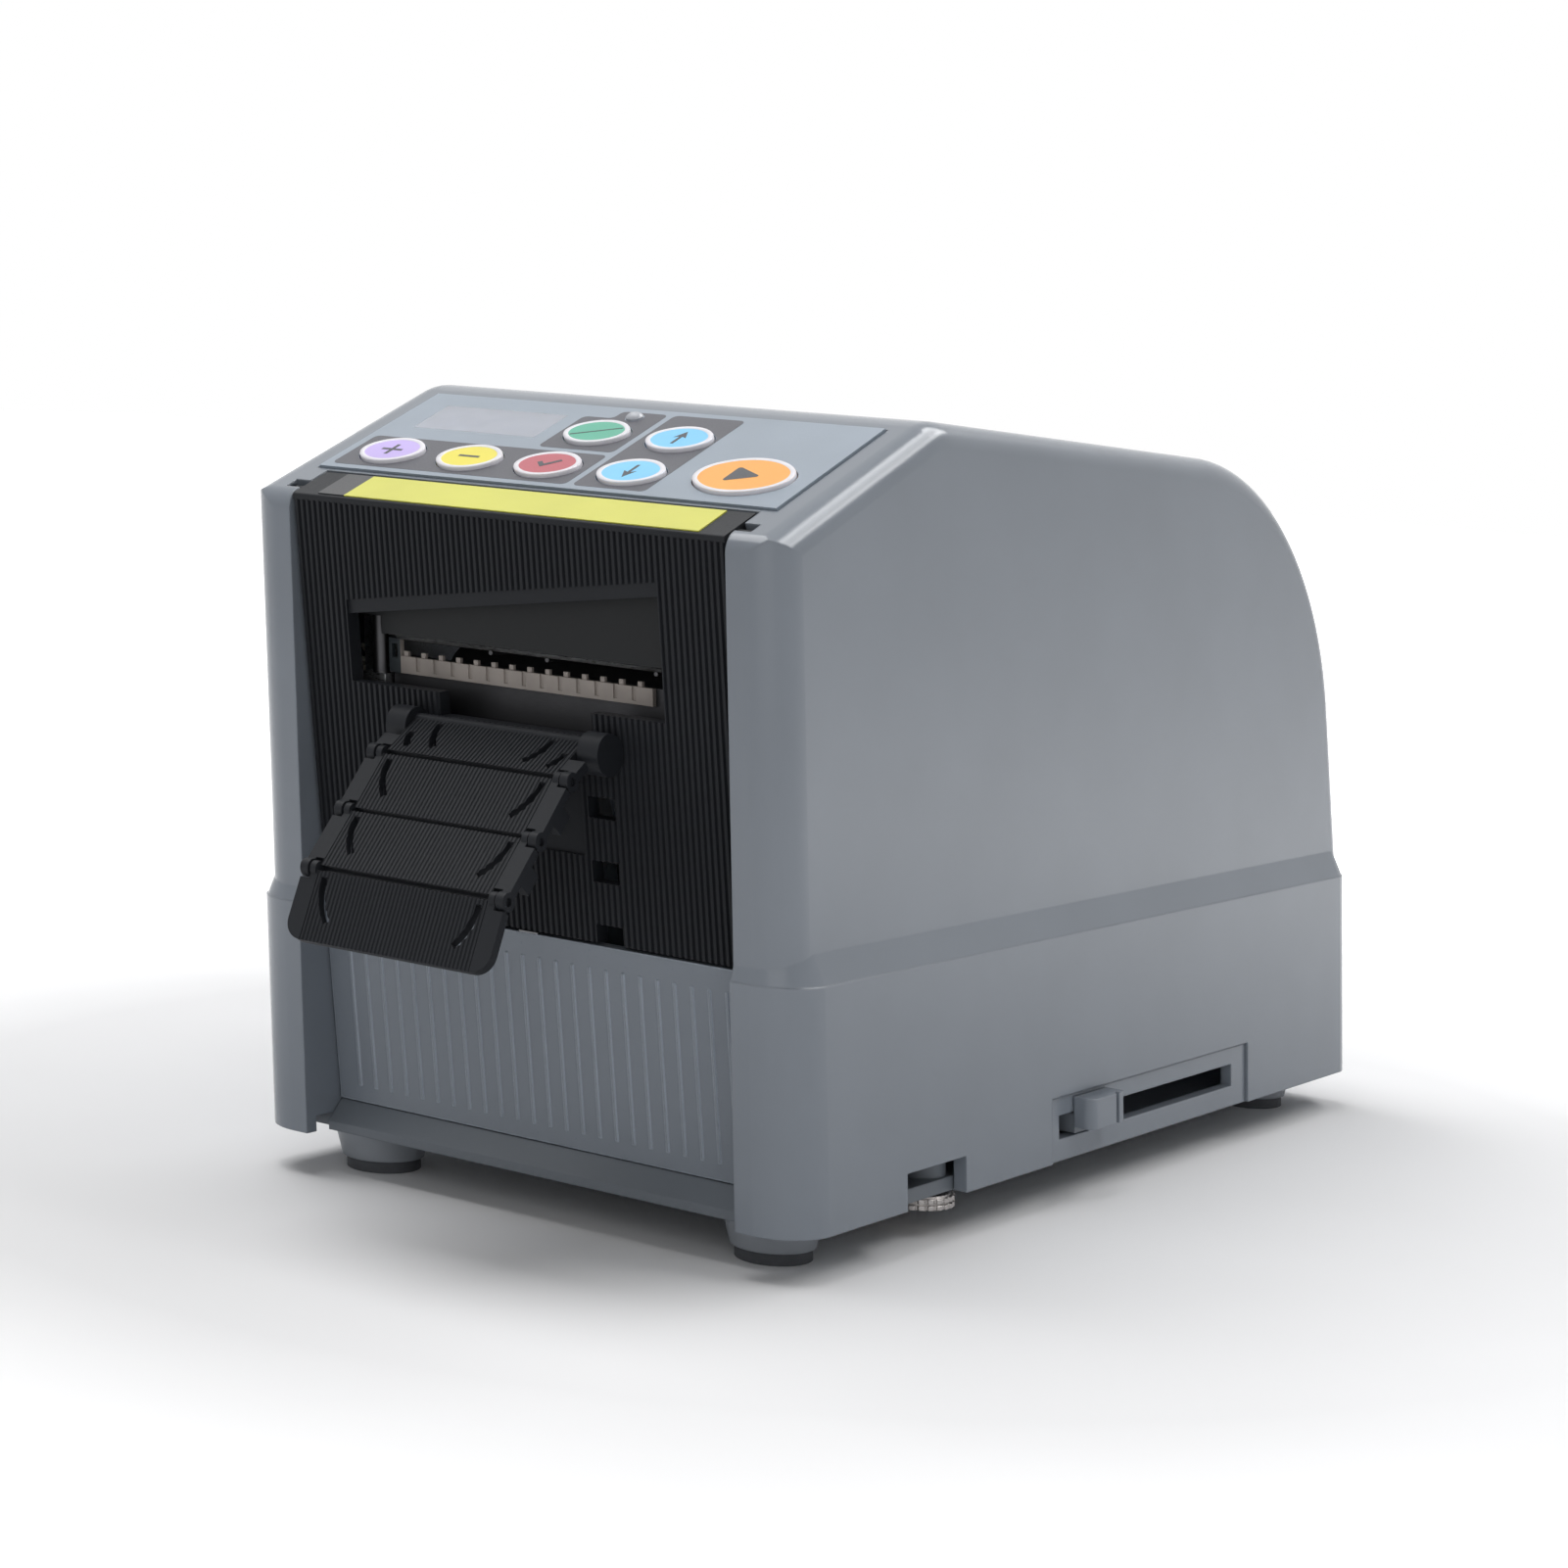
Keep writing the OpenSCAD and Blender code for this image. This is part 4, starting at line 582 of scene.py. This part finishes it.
def white_surround(ambient):
    """White to the eye and in reflections, and an even soft light on the object."""
    world = bpy.data.worlds.new("surround")
    bpy.context.scene.world = world
    world.use_nodes = True
    tree = world.node_tree
    background = tree.nodes["Background"]
    background.inputs["Color"].default_value = (1, 1, 1, 1)
    level = tree.nodes.new("ShaderNodeMapRange")
    level.inputs["To Min"].default_value = ambient
    level.inputs["To Max"].default_value = 1.0
    tree.links.new(seen_or_mirrored(tree), level.inputs["Value"])
    tree.links.new(level.outputs["Result"], background.inputs["Strength"])


def soft_box(name, place, target, width, height, power, only_mirrored=False):
    """A rectangular lamp; one that is only mirrored adds a highlight and no light on the colours."""
    data = bpy.data.lights.new(name, "AREA")
    data.shape = "RECTANGLE"
    data.size = width
    data.size_y = height
    data.energy = power
    lamp = bpy.data.objects.new(name, data)
    bpy.context.scene.collection.objects.link(lamp)
    lamp.location = place
    lamp.rotation_euler = (Vector(target) - Vector(place)).to_track_quat("-Z", "Y").to_euler()
    lamp.visible_diffuse = not only_mirrored


pale_floor()
white_surround(ambient=0.22)
soft_box("edge_strip", EDGE_LAMP, EDGE_AIM, width=1.2, height=0.24, power=4.6)
soft_box("edge_highlight", EDGE_LAMP, EDGE_AIM, width=1.2, height=0.55, power=16.0, only_mirrored=True)
soft_box("top_box", (-0.3, 0.0, 1.2), (0, 0, 0.05), width=0.8, height=0.9, power=9.6)
soft_box("front_box", (0.7, -1.2, 0.5), (0, 0, 0.06), width=1.0, height=1.0, power=2.6)


# camera: the photograph is a perspective view with a slight slant, so the camera's upright leans

CAMERA_PLACE = BODY + Vector((361.26, -567.1136, 151.65)) * MM
CAMERA_RIGHT = Vector((0.82877855, 0.55594939, 0.06361133))
CAMERA_DOWN = Vector((0.1217195, -0.0681522, -0.99022202))
FOCAL_PX = 3591.57
SLANT = 296.70 / FOCAL_PX
IMAGE_PX = 1601
CENTRE_PX = (805.16, 799.96)
SENSOR_MM = 36.0


def photo_camera():
    """A camera whose slant comes from a stretched, turned parent."""
    up = -CAMERA_DOWN
    back = CAMERA_RIGHT.cross(up)
    slanted = np.array([CAMERA_RIGHT, up + CAMERA_RIGHT * SLANT, back]).T
    turn, stretch, inner = np.linalg.svd(slanted)
    if np.linalg.det(turn) < 0:
        turn = -turn
        inner = -inner
    holder = bpy.data.objects.new("camera_holder", None)
    bpy.context.scene.collection.objects.link(holder)
    holder.matrix_world = (Matrix.Translation(CAMERA_PLACE) @ Matrix(turn.tolist()).to_4x4()
                           @ Matrix.Diagonal(stretch.tolist()).to_4x4())
    data = bpy.data.cameras.new("camera")
    data.sensor_width = SENSOR_MM
    data.lens = FOCAL_PX / IMAGE_PX * SENSOR_MM
    data.shift_x = (IMAGE_PX / 2 - CENTRE_PX[0]) / IMAGE_PX
    data.shift_y = (CENTRE_PX[1] - IMAGE_PX / 2) / IMAGE_PX
    data.clip_start = 0.01
    camera = bpy.data.objects.new("camera", data)
    bpy.context.scene.collection.objects.link(camera)
    camera.parent = holder
    camera.matrix_local = Matrix(inner.tolist()).to_4x4()
    bpy.context.scene.camera = camera


photo_camera()
bpy.context.scene.view_settings.view_transform = "Standard"
